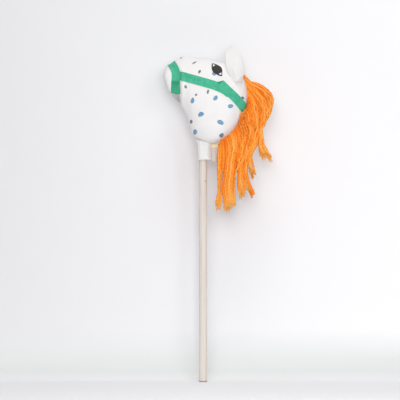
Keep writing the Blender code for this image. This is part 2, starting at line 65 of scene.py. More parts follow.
MM = 0.001
FULL_TURN = 2 * math.pi
NECK_BASE_Z = 0.6545
# The least distance between pieces that lie on each other
GAP = 0.0003


class Side(Enum):
    """A side of the horse, as the sign of Y that it faces."""

    LEFT = -1
    RIGHT = 1

    @property
    def word(self) -> str:
        """The side's name in lower case."""
        return self.name.lower()


# Stations of the head from the nose to the neck's underside: top point, lower point, and the
# width there as parts of the muzzle's width and of the head's width.
HEAD_STATIONS = (
    ((-109.7, 182.0), (-109.7, 182.0), 0.00, 0.00), ((-105.9, 202.0), (-105.0, 165.0), 0.62, 0.00),
    ((-98.2, 216.0), (-96.8, 147.5), 0.84, 0.00), ((-86.9, 223.3), (-85.8, 132.6), 0.95, 0.00),
    ((-73.1, 231.6), (-73.7, 120.2), 0.90, 0.08), ((-51.1, 241.4), (-63.5, 112.7), 0.35, 0.58),
    ((-25.0, 237.6), (-57.2, 106.7), 0.00, 0.91), ((5.2, 234.9), (-52.0, 96.2), 0.00, 0.98),
    ((38.2, 227.4), (-46.2, 79.8), 0.00, 1.00), ((71.2, 214.5), (-40.7, 60.5), 0.00, 1.00),
    ((100.1, 195.8), (-35.5, 44.6), 0.00, 0.99), ((116.6, 167.7), (-30.5, 33.0), 0.00, 0.97),
    ((121.6, 134.7), (-25.6, 24.2), 0.00, 0.95), ((117.4, 103.1), (-20.9, 17.9), 0.00, 0.92),
    ((107.0, 74.2), (-15.1, 12.6), 0.00, 0.87), ((90.5, 48.1), (-8.5, 8.3), 0.00, 0.79),
    ((69.9, 26.1), (1.1, 4.7), 0.00, 0.64), ((47.9, 11.0), (13.5, 1.6), 0.00, 0.38),
    ((31.4, 0.3), (31.4, 0.3), 0.00, 0.00),
)
# The seam at which the muzzle's cloth turns in to the chin, and the upper edge of the painted shade under the
# chin
CHIN_SEAM = ((-104.0, 154.0), (-98.2, 149.8), (-86.9, 142.0), (-73.7, 138.5), (-55.0, 136.0))
PAINTED_CHIN_SHADE_EDGE = ((-103.0, 160.0), (-92.0, 146.0), (-85.0, 139.5), (-65.0, 137.0), (-58.0, 120.0), (-50.0, 100.0))

# Middle lines of the tapes, and the fold at the corner of two of them
NOSEBAND_LINE = (
    (-99.5, 243.4), (-87.4, 221.6), (-75.6, 199.4), (-74.8, 176.0), (-75.6, 148.5), (-74.8, 105.0),
)
CHEEK_LINE = (
    (-64.0, 187.0), (-22.3, 175.7), (12.1, 165.9), (42.5, 155.8), (56.0, 149.4), (66.0, 143.0), (73.0, 137.5),
)
NAPE_LINE = (
    (47.5, 165.0), (58.0, 154.6), (68.4, 144.9), (83.6, 131.0), (97.9, 115.9), (106.4, 105.6), (135.0, 70.0),
)
CORNER_FOLD = ((37.1, 169.0), (55.6, 173.6), (52.2, 164.4), (44.0, 163.0))
TAPE_SEAMS = (
    ((-61.5, 196.0), (-61.5, 178.0)), ((31.0, 170.0), (34.0, 156.0)), ((60.0, 168.0), (50.0, 150.5)),
)

EYE_OUTLINE = (
    (25.3, 220.3), (31.4, 219.2), (37.7, 216.7), (44.0, 213.4), (49.0, 209.8), (51.4, 204.9), (52.0, 198.6),
    (51.7, 186.7), (46.5, 186.5), (41.5, 188.4), (35.2, 192.2), (28.9, 196.1), (25.3, 201.0), (23.7, 208.5),
    (23.9, 215.9),
)
EYE_GLINTS = (
    ((26.6, 217.6), (30.2, 217.2), (33.0, 215.6), (29.4, 213.2), (27.2, 211.2)),
    ((50.2, 195.6), (50.2, 189.6), (46.6, 189.2), (42.6, 191.8), (47.0, 193.6)),
)
EAR_FRONT_EDGE = (
    (82.5, 172.0), (78.5, 181.0), (66.5, 201.5), (62.0, 219.0), (61.6, 239.0), (63.5, 256.5), (77.5, 269.0),
)
EAR_REAR_EDGE = (
    (104.5, 171.0), (110.8, 188.0), (111.4, 206.0), (107.8, 226.0), (100.1, 243.5), (91.0, 260.0),
    (82.0, 269.5),
)
# Height in metres, place across the ear and reach of each pleat at its foot, and of each tuck above it,
# whose place and reach along the ear follow
EAR_PLEATS = ((0.0018, 0.63, 0.2), (-0.0022, 0.33, 0.035), (-0.0022, 0.93, 0.03))
EAR_TUCKS = ((-0.0028, 0.30, 0.035, 0.3, 0.06), (-0.0020, 0.2, 0.1, 0.2, 0.07))


def colour(hex_value: str) -> tuple[float, float, float, float]:
    """A colour for a shader: linear red, green and blue, and an alpha of 1, from six sRGB hex digits."""
    parts = [int(hex_value[i:i + 2], 16) / 255 for i in (0, 2, 4)]
    return (*(c / 12.92 if c <= 0.04045 else ((c + 0.055) / 1.055) ** 2.4 for c in parts), 1.0)


def place(points: Sequence[Sequence[float]]) -> Array:
    """Points drawn in millimetres as X and Z in metres."""
    return np.asarray(points, float) * MM + np.array([0.0, NECK_BASE_Z])


def spline(knots: Array, values: Array, at: Array) -> Array:
    """Natural cubic spline.

    Args:
        knots: Rising places along the curve.
        values: A row of values for each knot.
        at: The places to read.

    Returns:
        A row of values for each place.
    """
    step = np.diff(knots)
    rows = len(knots)
    system, right = np.eye(rows), np.zeros_like(values)
    for i in range(1, rows - 1):
        system[i, i - 1:i + 2] = step[i - 1], 2 * (step[i - 1] + step[i]), step[i]
        right[i] = 6 * ((values[i + 1] - values[i]) / step[i] - (values[i] - values[i - 1]) / step[i - 1])
    bend = np.linalg.solve(system, right)
    i = np.clip(np.searchsorted(knots, at, side="right") - 1, 0, rows - 2)
    h, left, rest = step[i][:, None], (at - knots[i])[:, None], (knots[i + 1] - at)[:, None]
    return (bend[i] * rest ** 3 / (6 * h) + bend[i + 1] * left ** 3 / (6 * h)
            + (values[i] / h - bend[i] * h / 6) * rest + (values[i + 1] / h - bend[i + 1] * h / 6) * left)


def ramp(value: Array, start: float, end: float) -> Array:
    """Rises smoothly from 0 at start to 1 at end."""
    share = np.clip((value - start) / (end - start), 0, 1)
    return share * share * (3 - 2 * share)


def bump(value: Array, middle: float, reach: float) -> Array:
    """A bell curve of height 1 about a middle."""
    return np.exp(-((value - middle) / reach) ** 2)


def lengths_along(points: Array) -> Array:
    """The distance along a line of points at each of them."""
    return np.concatenate([[0], np.cumsum(np.linalg.norm(np.diff(points, axis=0), axis=1))])


def smooth_line(points: Array, count: int) -> Array:
    """Evenly spaced points on the smooth curve through the given points."""
    knots = lengths_along(points)
    return spline(knots, points, np.linspace(0, knots[-1], count))


def even_line(points: Array, count: int) -> Array:
    """Evenly spaced points on the straight pieces between the given points.

    Args:
        points: The points, one in each row.
        count: How many new points.

    Returns:
        The new points.
    """
    knots = lengths_along(points)
    at = np.linspace(0, knots[-1], count)
    return np.column_stack([np.interp(at, knots, column) for column in points.T])


def moved_across(line: Array, distance: float | Array) -> Array:
    """A line of X-Z points moved sideways, to its left where the distance is positive.

    Args:
        line: The line.
        distance: How far, in one number or one for each point.

    Returns:
        The moved line.
    """
    along = np.gradient(line, axis=0)
    across = np.column_stack([-along[:, 1], along[:, 0]]) / np.linalg.norm(along, axis=1)[:, None]
    return line + across * distance


def set_out(flat: Array, out: Array, side: Side) -> Array:
    """X-Z points, each set at its distance from the middle plane, on one side."""
    return np.column_stack([flat[:, 0], side.value * out, flat[:, 1]])


def mesh_object(name: str, points: Array, faces: Sequence[Sequence[int]], sharp: float = 50.0) -> Piece:
    """A smooth shaded mesh object in the scene.

    Args:
        name: The piece's name.
        points: A row for each vertex.
        faces: Vertex numbers of each face, turned outward.
        sharp: Edges bent by more than this many degrees stay crisp.

    Returns:
        The new object.
    """
    mesh = bpy.data.meshes.new(name)
    mesh.from_pydata(np.asarray(points, float).tolist(), [], [list(map(int, face)) for face in faces])
    mesh.validate()
    mesh.update()
    mesh.shade_smooth()
    mesh.set_sharp_from_angle(angle=math.radians(sharp))
    obj = bpy.data.objects.new(name, mesh)
    bpy.context.scene.collection.objects.link(obj)
    return obj


def store(obj: Piece, name: str, values: Array) -> None:
    """Keeps a value or a vector for each vertex, which a material reads by name.

    Args:
        obj: The piece.
        name: The attribute's name.
        values: A value or a row of three for each vertex.
    """
    kind, key = ("FLOAT", "value") if values.ndim == 1 else ("FLOAT_VECTOR", "vector")
    layer = obj.data.attributes.new(name, kind, "POINT")
    layer.data.foreach_set(key, np.asarray(values, np.float32).ravel())


def vertex_places(obj: Piece) -> Array:
    """The places of a piece's vertices.

    Args:
        obj: The piece.

    Returns:
        A row for each vertex.
    """
    found = np.empty(len(obj.data.vertices) * 3, np.float32)
    obj.data.vertices.foreach_get("co", found)
    return found.reshape(-1, 3).astype(float)


def grid_faces(rows: int, columns: int, closed: bool = False, first: int = 0) -> Array:
    """Faces between the points of a grid.

    Args:
        rows: Number of rows.
        columns: Number of columns.
        closed: The last column joins the first.
        first: Number of the grid's first vertex.

    Returns:
        Four vertex numbers for each face.
    """
    start = first + np.arange(rows - 1)[:, None] * columns
    k = np.arange(columns if closed else columns - 1)[None, :]
    beside = (k + 1) % columns
    corners = start + k, start + beside, start + columns + beside, start + columns + k
    return np.stack(corners, -1).reshape(-1, 4)


def capped_faces(rows: int, columns: int, closed: bool) -> list[tuple[int, ...]]:
    """Faces of a grid whose first and last row each close on a point; the two points follow the grid's own.

    Args:
        rows: Number of rows.
        columns: Number of columns.
        closed: The last column joins the first.

    Returns:
        The vertex numbers of each face.
    """
    faces = [tuple(face) for face in grid_faces(rows, columns, closed)]
    last = rows * columns
    for k in range(columns if closed else columns - 1):
        beside = (k + 1) % columns
        faces += [(last, beside, k), (last + 1, last - columns + k, last - columns + beside)]
    return faces


def grid_normals(grid: Array, closed: bool = False) -> Array:
    """Unit normals of a grid, along the cross product of its rows and columns.

    Args:
        grid: Its points, rows by columns by 3.
        closed: The last column joins the first.

    Returns:
        A normal for each point.
    """
    beside = np.roll(grid, -1, 1) - np.roll(grid, 1, 1) if closed else np.gradient(grid, axis=1)
    cross = np.cross(np.gradient(grid, axis=0), beside)
    return cross / np.maximum(np.linalg.norm(cross, axis=-1, keepdims=True), 1e-12)


def cloth_shell(name: str, over: Array, under: Array, closed: bool = False) -> Piece:
    """A closed piece of cloth between two grids of points.

    Args:
        name: The piece's name.
        over: Grid of the side that shows, rows by columns by 3.
        under: Grid of the other side.
        closed: The last column joins the first.

    Returns:
        The new object, whose vertices are those of over and then those of under.
    """
    rows, columns = over.shape[:2]
    count = rows * columns
    across, down = np.arange(columns), np.arange(rows) * columns
    rims = [across, (count - columns + across)[::-1]]
    if closed:
        rims = [np.append(rim, rim[0]) for rim in rims]
    else:
        rims += [down[::-1], down + columns - 1]
    faces = [grid_faces(rows, columns, closed), grid_faces(rows, columns, closed, count)[:, ::-1]]
    faces += [np.stack([rim[1:], rim[:-1], rim[:-1] + count, rim[1:] + count], -1) for rim in rims]
    points = np.concatenate([over.reshape(-1, 3), under.reshape(-1, 3)])
    obj = mesh_object(name, points, np.concatenate(faces))
    if ((over - under) * grid_normals(over, closed)).sum() < 0:
        obj.data.flip_normals()
    return obj


def bore(obj: Piece, radius: float, low: float, high: float, sides: int = 48) -> None:
    """Cuts a round upright hole about the stick's axis out of a piece.

    Args:
        obj: The piece.
        radius: The hole's radius.
        low: Z of its lower end.
        high: Z of its upper end.
        sides: Number of flats round it.
    """
    angles = FULL_TURN * np.arange(sides) / sides
    ring = np.column_stack([radius * np.cos(angles), radius * np.sin(angles)])
    points = np.concatenate([np.column_stack([ring, np.full(sides, z)]) for z in (low, high)])
    ends = [tuple(range(sides))[::-1], tuple(range(sides, 2 * sides))]
    bar = mesh_object("bore_tool", points, [*grid_faces(2, sides, True), *ends])
    change = obj.modifiers.new("bore", "BOOLEAN")
    change.object, change.operation, change.solver = bar, "DIFFERENCE", "EXACT"
    mesh = bpy.data.meshes.new_from_object(obj.evaluated_get(bpy.context.evaluated_depsgraph_get()))
    obj.modifiers.clear()
    obj.data = mesh
    bpy.data.objects.remove(bar)


@dataclass
class Strand:
    """One length of yarn or thread: the points it follows, and its radius and tone from 0 to 1 at each."""

    path: Array
    radius: Array
    tone: Array | float = 0.5


def strands_object(name: str, strands: Sequence[Strand], sides: int = 8, plies: int = 2, pitch: float = 0.02,
                   relief: float = 0.16) -> Piece:
    """Tubes along strands, with the twist of their plies in the shape.

    Args:
        name: The piece's name.
        strands: The lengths of yarn.
        sides: Points round each tube.
        plies: Number of plies twisted together.
        pitch: Length in metres in which a ply goes once round.
        relief: Height of the plies as a part of the radius.

    Returns:
        The new object, with the attributes twist (length along, cosine, sine) and tone.
    """
    points, faces, twists, tones, first = [], [], [], [], 0
    angles = FULL_TURN * np.arange(sides) / sides
    cosine, sine = np.cos(angles), np.sin(angles)
    for strand in strands:
        path, count = strand.path, len(strand.path)
        along = np.gradient(path, axis=0)
        along /= np.maximum(np.linalg.norm(along, axis=1)[:, None], 1e-12)
        length = lengths_along(path)
        # The frame is carried from ring to ring, so that the tube doesn't turn by itself
        across = np.empty_like(path)
        ahead = np.cross(along[0], (0.0, 1.0, 0.0) if abs(along[0][1]) < 0.9 else (1.0, 0.0, 0.0))
        for i in range(count):
            ahead = ahead - along[i] * (ahead @ along[i])
            ahead /= np.linalg.norm(ahead)
            across[i] = ahead
        beside = np.cross(along, across)
        turn = plies * (angles[None, :] - FULL_TURN * (length / pitch)[:, None])
        radius = strand.radius[:, None] * (1 + relief * np.cos(turn))
        rings = (path[:, None, :] + across[:, None, :] * (radius * cosine)[:, :, None]
                 + beside[:, None, :] * (radius * sine)[:, :, None])
        points.append(rings.reshape(-1, 3))
        after = first + count * sides
        faces += grid_faces(count, sides, True, first)[:, ::-1].tolist()
        faces += [range(first, first + sides), range(after - sides, after)[::-1]]
        twists.append(np.stack([np.repeat(length, sides), np.tile(cosine, count), np.tile(sine, count)], -1))
        tones.append(np.repeat(np.broadcast_to(strand.tone, count), sides))
        first = after
    obj = mesh_object(name, np.concatenate(points), faces, 180.0)
    store(obj, "twist", np.concatenate(twists))
    store(obj, "tone", np.concatenate(tones))
    return obj


def dress(obj: Piece, paint: Paint, replaced: Sequence[str] = (),
          body: Optional[str] = "head") -> None:
    """Gives a piece its finish and its place in the model.

    Args:
        obj: The piece.
        paint: Its material.
        replaced: The CAD nodes that it stands for.
        body: The body that it rides on, or None where it rides on none.
    """
    obj.data.materials.clear()
    obj.data.materials.append(paint)
    if replaced:
        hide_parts(*replaced)
    if body:
        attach(obj, body)
    LOG.info("%s: %d faces on %s", obj.name, len(obj.data.polygons), body or "two bodies")


def add_node(tree: Tree, kind: str, inputs: Optional[dict] = None, **settings: object) -> bpy.types.Node:
    """Adds a shader node.

    Args:
        tree: The node tree.
        kind: The node's type, without the words ShaderNode.
        inputs: What goes into each input, by its name or number: a socket, a node whose first output is
            meant, a constant, or a colour as hex digits.
        settings: The node's properties by name.

    Returns:
        The new node.
    """
    node = tree.nodes.new("ShaderNode" + kind)
    for name, value in settings.items():
        setattr(node, name, value)
    for key, item in (inputs or {}).items():
        if isinstance(item, bpy.types.Node):
            item = item.outputs[0]
        if isinstance(item, bpy.types.NodeSocket):
            tree.links.new(item, node.inputs[key])
        else:
            node.inputs[key].default_value = colour(item) if isinstance(item, str) else item
    return node


def over(tree: Tree, below: Source | str, above: Source | str, mask: Source, low: float = 0.0,
         high: float = 1.0, most: float = 1.0) -> bpy.types.NodeSocket:
    """Lays a colour over another one where a mask shows it.

    Args:
        tree: The node tree.
        below: The colour below.
        above: The colour that is laid over it.
        mask: What says how much of the upper colour shows.
        low: The mask's value where none of it shows.
        high: The mask's value where most of it shows.
        most: The largest share of it.

    Returns:
        The new colour.
    """
    share = add_node(tree, "MapRange", {0: mask, 1: low, 2: high, 4: most})
    return add_node(tree, "Mix", {0: share, 6: below, 7: above}, data_type="RGBA").outputs[2]


def ridges(tree: Tree, length: Source, pitch_mm: float) -> Source:
    """Even ridges of threads, from 0 to 1.

    Args:
        tree: The node tree.
        length: The length in metres that the threads are counted along.
        pitch_mm: The distance from thread to thread.

    Returns:
        The height.
    """
    turned = add_node(tree, "Math", {0: length, 1: FULL_TURN / (pitch_mm * MM)}, operation="MULTIPLY")
    wave = add_node(tree, "Math", {0: turned}, operation="SINE")
    return add_node(tree, "Math", {0: wave, 1: 0.5, 2: 0.5}, operation="MULTIPLY_ADD")


def noise_scale(size_mm: float, detail: float = 3.0) -> dict[str, float]:
    """The inputs of a noise whose features are about so many millimetres across."""
    return {"Scale": 1 / (size_mm * MM), "Detail": detail}


@dataclass(frozen=True)
class Finish:
    """What all finishes share: the material's name, its shader's constants and the height of its relief."""

    name: str = "finish"
    roughness: float = 0.9
    sheen: float = 0.0
    specular: float = 0.3
    bump_mm: float = 0.1

    def pattern(self, tree: Tree, spot: Source) -> tuple[bpy.types.NodeSocket, Optional[Source]]:
        """The finish's own colour and height.

        Args:
            tree: The material's node tree.
            spot: The place on the piece.

        Returns:
            The colour, and the height from 0 to 1 or None where it is flat.
        """
        raise NotImplementedError

    def material(self) -> Paint:
        """The material, whose shader takes the pattern's colour and relief.

        Returns:
            The new material.
        """
        paint = bpy.data.materials.new(self.name)
        paint.use_nodes = True
        tree = paint.node_tree
        shader = tree.nodes["Principled BSDF"]
        surface = {"Roughness": self.roughness, "Sheen Weight": self.sheen, "Sheen Roughness": 0.6,
                   "Specular IOR Level": self.specular}
        for key, value in surface.items():
            shader.inputs[key].default_value = value
        hue, height = self.pattern(tree, add_node(tree, "TexCoord").outputs["Object"])
        tree.links.new(hue, shader.inputs["Base Color"])
        if height is not None:
            relief = add_node(tree, "Bump", {"Strength": 1.0, "Distance": self.bump_mm * MM,
                                             "Height": height})
            tree.links.new(relief.outputs[0], shader.inputs["Normal"])
        return paint


@dataclass(frozen=True)
class BirchDowel(Finish):
    """Birch wood, turned to a dowel and sanded, with no lacquer: pale, dull, with fine upright grain."""

    name: str = "birch_turned_and_sanded"
    roughness: float = 0.62
    specular: float = 0.35
    bump_mm: float = 0.08
    pale: str = "E8E1D9"
    dark: str = "D3C8BE"
    mark: str = "8E7F73"
    dark_foot_below: float = 0.0045
    knot: tuple[float, float, float] = (0.0058, -0.0093, 0.5525)

    def pattern(self, tree: Tree, spot: Source) -> tuple[bpy.types.NodeSocket, Optional[Source]]:
        """Grain, a darker foot and one small knot.

        Args:
            tree: The node tree.
            spot: The place in the object.

        Returns:
            The colour and the relief.
        """
        # Birch grain is under 1 mm wide, drawn at 2.2 mm across and 140 mm long so that it shows
        grain, broad = (
            add_node(tree, "TexNoise", {"Vector": add_node(tree, "Mapping", {"Vector": spot, "Scale": scale}),
                                        **noise_scale(size, detail)})
            for scale, size, detail in (((1, 1, 0.016), 2.2, 4.0), ((1, 1, 0.1), 14.0, 3.0)))
        height = add_node(tree, "SeparateXYZ", {0: spot}).outputs[2]
        to_knot = add_node(tree, "VectorMath", {0: spot, 1: self.knot}, operation="DISTANCE").outputs[1]
        wood = over(tree, self.pale, self.dark, grain, 0.35, 0.7)
        wood = over(tree, wood, self.dark, broad, 0.3, 0.75, 0.35)
        # The last few millimetres of the foot are darker
        wood = over(tree, wood, self.mark, height, self.dark_foot_below, self.dark_foot_below / 3, 0.95)
        return over(tree, wood, self.mark, to_knot, 0.0024, 0.001, 0.85), grain


@dataclass(frozen=True)
class Flecked(Finish):
    """A finish of two colours in fine flecks, which are its relief too."""

    light: str = "FFFFFF"
    deep: str = "CCCCCC"
    size_mm: float = 1.0
    detail: float = 5.0
    least: float = 0.0
    most: float = 1.0

    def pattern(self, tree: Tree, spot: Source) -> tuple[bpy.types.NodeSocket, Optional[Source]]:
        """Flecks of the deep colour on the light one.

        Args:
            tree: The node tree.
            spot: The place in the object.

        Returns:
            The colour and the relief.
        """
        flecks = add_node(tree, "TexNoise", {"Vector": spot, **noise_scale(self.size_mm, self.detail)})
        return over(tree, self.light, self.deep, flecks, self.least, self.most), flecks


@dataclass(frozen=True)
class GreyCard(Flecked):
    """Grey board, wound to a tube from paper strips: dull, with fine flecks."""

    name: str = "grey_board_wound_tube"
    roughness: float = 0.95
    bump_mm: float = 0.12
    light: str = "B8A180"
    deep: str = "9C8463"
    size_mm: float = 1.6
    least: float = 0.35
    most: float = 0.7


@dataclass(frozen=True)
class PolyesterFibre(Flecked):
    """Polyester fibre filling, carded and stuffed: white, cloudy and matt."""

    name: str = "polyester_fibre_filling"
    roughness: float = 1.0
    sheen: float = 0.2
    bump_mm: float = 1.5
    light: str = "FAFAF7"
    deep: str = "DCDCD6"
    size_mm: float = 7.0
    detail: float = 8.0


@dataclass(frozen=True)
class EyeFelt(Flecked):
    """Felt or thread of one colour, pressed or sewn: matt with short fibres."""

    name: str = "black_felt_pressed"
    roughness: float = 0.8
    sheen: float = 0.05
    bump_mm: float = 0.15
    light: str = "3B3B39"
    deep: str = "2B2B2A"
    size_mm: float = 1.2


@dataclass(frozen=True)
class WhiteCotton(Finish):
    """Bleached cotton, plain woven, unprinted or printed with dots: matt, soft and slightly uneven."""

    name: str = "bleached_cotton_plain_woven"
    roughness: float = 0.92
    sheen: float = 0.12
    specular: float = 0.2
    light: str = "F4F2F1"
    shade: str = "EAE7E6"
    # The grey of the painted shade under the chin
    handled: str = "9B9997"
    dotted: bool = False
    bleed: float = 0.0003

    def pattern(self, tree: Tree, spot: Source) -> tuple[bpy.types.NodeSocket, Optional[Source]]:
        """Woven threads with uneven places, and where dotted is set the printed dots and the painted shade
        under the chin.

        Args:
            tree: The node tree.
            spot: The place in the object.

        Returns:
            The colour and the relief.
        """
        split = add_node(tree, "SeparateXYZ", {0: spot})
        # The threads are 0.35 mm apart in the real cloth, drawn 1.1 mm apart so that the weave shows
        warp, weft = (ridges(tree, split.outputs[axis], 1.1) for axis in (0, 2))
        weave = add_node(tree, "Math", {0: warp, 1: weft}, operation="MULTIPLY")
        slubs, broad = (add_node(tree, "TexNoise", {"Vector": spot, **noise_scale(size, detail)})
                        for size, detail in ((5.0, 4.0), (45.0, 2.0)))
        cloth = over(tree, self.light, self.shade, slubs, 0.3, 0.75, 0.5)
        cloth = over(tree, cloth, self.shade, broad, 0.4, 0.75, 0.4)
        if self.dotted:
            edge, handled = (add_node(tree, "Attribute", attribute_name=name).outputs["Fac"]
                             for name in ("dot_edge", "handled"))
            ink = add_node(tree, "Attribute", attribute_name="dot_ink").outputs["Vector"]
            # The print is thin on the raised threads, and its edge bleeds by about 0.3 mm
            worn = over(tree, ink, self.light, slubs, 0.35, 0.8, 0.25)
            cloth = over(tree, cloth, worn, edge, self.bleed, -self.bleed)
            # Painted shade: the cloth under the chin is greyed
            cloth = over(tree, cloth, self.handled, handled, most=0.7)
        return cloth, add_node(tree, "Math", {0: slubs, 1: 0.6, 2: weave}, operation="MULTIPLY_ADD")


@dataclass(frozen=True)
class GreenTape(Finish):
    """Cotton tape, dyed green and woven in herringbone twill: matt with fine slanted ribs."""

    name: str = "green_cotton_herringbone_tape"
    roughness: float = 0.85
    sheen: float = 0.1
    specular: float = 0.25
    bump_mm: float = 0.16
    light: str = "54C19D"
    deep: str = "3AAC85"
    shaded: str = "2A8F6B"
    stripe: float = 0.006

    def pattern(self, tree: Tree, spot: Source) -> tuple[bpy.types.NodeSocket, Optional[Source]]:
        """Ribs that slant to and fro, from the attribute with the place along and across the tape, and
        painted shade from its third value.

        Args:
            tree: The node tree.
            spot: The place in the object.

        Returns:
            The colour and the relief.
        """
        lay = add_node(tree, "Attribute", attribute_name="lay").outputs["Vector"]
        along, across, under = add_node(tree, "SeparateXYZ", {0: lay}).outputs[:3]
        fold = add_node(tree, "Math", {0: across, 1: self.stripe}, operation="PINGPONG")
        # Twill ribs are 0.6 mm apart in the real tape, drawn 1.6 mm apart so that they show
        ribs = ridges(tree, add_node(tree, "Math", {0: along, 1: fold}, operation="ADD"), 1.6)
        uneven = add_node(tree, "TexNoise", {"Vector": spot, **noise_scale(12.0, 4.0)})
        dye = over(tree, self.light, self.deep, uneven, 0.3, 0.75)
        dye = over(tree, dye, self.deep, ribs, 0.5, 0.0, 0.22)
        # Painted shade: the third value of lay darkens the tape toward the shaded colour
        return over(tree, dye, self.shaded, under), ribs


@dataclass(frozen=True)
class SatinLabel(Finish):
    """Polyester label, woven in satin, blank: smooth and slightly glossy with fine cross threads."""

    name: str = "blank_satin_label_woven"
    roughness: float = 0.5
    specular: float = 0.4
    bump_mm: float = 0.06
    # The label's grey is partly painted shade and partly stands for its left-out print
    light: str = "D6D1CE"
    deep: str = "C7C1BD"
    band: str = "EBDD9C"
    band_low: float = 0.0

    def pattern(self, tree: Tree, spot: Source) -> tuple[bpy.types.NodeSocket, Optional[Source]]:
        """Cross threads, and a plain pale yellow band above band_low.

        Args:
            tree: The node tree.
            spot: The place in the object.

        Returns:
            The colour and the relief.
        """
        height = add_node(tree, "SeparateXYZ", {0: spot}).outputs[2]
        uneven = add_node(tree, "TexNoise", {"Vector": spot, **noise_scale(6.0)})
        grey = over(tree, self.light, self.deep, uneven)
        # Label threads are 0.2 mm apart, drawn 0.8 mm apart so that they show
        ribbon = over(tree, grey, self.band, height, self.band_low, self.band_low + 0.0006)
        return ribbon, ridges(tree, height, 0.8)


@dataclass(frozen=True)
class OrangeYarn(Finish):
    """Acrylic yarn, spun and plied: matt, fuzzy and bright orange, with painted shade in the grooves between
    its plies.
    """

    name: str = "orange_acrylic_yarn_plied"
    sheen: float = 0.04
    specular: float = 0.12
    bump_mm: float = 0.2
    frayed: str = "FFC96E"
    light: str = "FFB658"
    middle: str = "FF9A30"
    deep: str = "F07614"
    plies: float = 2.0
    fibres: float = 6.0
    pitch: float = 0.02

    def pattern(self, tree: Tree, spot: Source) -> tuple[bpy.types.NodeSocket, Optional[Source]]:
        """Twisted plies and fibres, from the place along and round each strand and from its tone.

        Args:
            tree: The node tree.
            spot: The place in the object.

        Returns:
            The colour and the relief.
        """
        twist = add_node(tree, "Attribute", attribute_name="twist").outputs["Vector"]
        tone = add_node(tree, "Attribute", attribute_name="tone").outputs["Fac"]
        along, cosine, sine = add_node(tree, "SeparateXYZ", {0: twist}).outputs[:3]
        bearing = add_node(tree, "Math", {0: sine, 1: cosine}, operation="ARCTAN2")
        # A ply goes once round in about 12 mm, drawn in 20 mm so that the grooves show
        lead = add_node(tree, "Math", {0: along, 1: FULL_TURN / self.pitch}, operation="MULTIPLY")
        turn = add_node(tree, "Math", {0: bearing, 1: lead}, operation="SUBTRACT")
        ridge, fine = (
            add_node(tree, "Math", {0: add_node(tree, "Math", {0: turn, 1: count}, operation="MULTIPLY")},
                     operation=wave)
            for count, wave in ((self.plies, "COSINE"), (self.fibres, "SINE")))
        uneven = add_node(tree, "TexNoise", {"Vector": spot, **noise_scale(9.0, 4.0)})
        # The tone carries the strands' painted shade, their uneven colour and their paler tips
        dye = over(tree, self.deep, self.middle, tone, 0.0, 0.5)
        dye = over(tree, dye, self.light, tone, 0.5, 0.9)
        dye = over(tree, dye, self.frayed, tone, 0.85, 1.0, 0.7)
        dye = over(tree, dye, self.middle, uneven, 0.35, 0.8, 0.5)
        # Painted shade in the grooves between the plies
        dye = over(tree, dye, self.deep, ridge, 0.1, -1.0, 0.35)
        return dye, add_node(tree, "Math", {0: fine, 1: 0.12, 2: ridge}, operation="MULTIPLY_ADD")


@dataclass(frozen=True)
class StudioPaper(Finish):
    """Seamless paper, hung behind and laid under the object: white and matt, with painted shade in its
    colour.
    """

    name: str = "white_seamless_paper"
    roughness: float = 1.0
    specular: float = 0.0
    white: str = "FAFAFC"
    shaded: str = "E8E8EA"
    low: str = "E9EBEA"
    floor: str = "F9F9FA"

    def pattern(self, tree: Tree, spot: Source) -> tuple[bpy.types.NodeSocket, Optional[Source]]:
        """White, with painted shade: greyer to the left and where the sheet curves from the wall to the
        floor.

        Args:
            tree: The node tree.
            spot: The place in the object.

        Returns:
            The colour and the relief.
        """
        x, _, z = add_node(tree, "SeparateXYZ", {0: spot}).outputs[:3]
        # Painted shade: the sheet is greyer to the left and again in the cove, while the floor stays light
        sheet = over(tree, self.shaded, self.white, x, -0.55, 0.55)
        sheet = over(tree, sheet, self.low, z, 0.14, 0.06)
        return over(tree, sheet, self.floor, z, 0.025, 0.0), None

    def material(self) -> Paint:
        """The paper's material, clear from behind and to the lamps, so that every side can be seen.

        Returns:
            The new material.
        """
        paint = super().material()
        tree = paint.node_tree
        rays = add_node(tree, "LightPath").outputs["Is Shadow Ray"]
        behind = add_node(tree, "NewGeometry").outputs["Backfacing"]
        gone = add_node(tree, "Math", {0: behind, 1: rays}, operation="MAXIMUM")
        clear = add_node(tree, "BsdfTransparent")
        both = add_node(tree, "MixShader", {0: gone, 1: tree.nodes["Principled BSDF"], 2: clear})
        tree.links.new(both.outputs[0], tree.nodes["Material Output"].inputs["Surface"])
        return paint


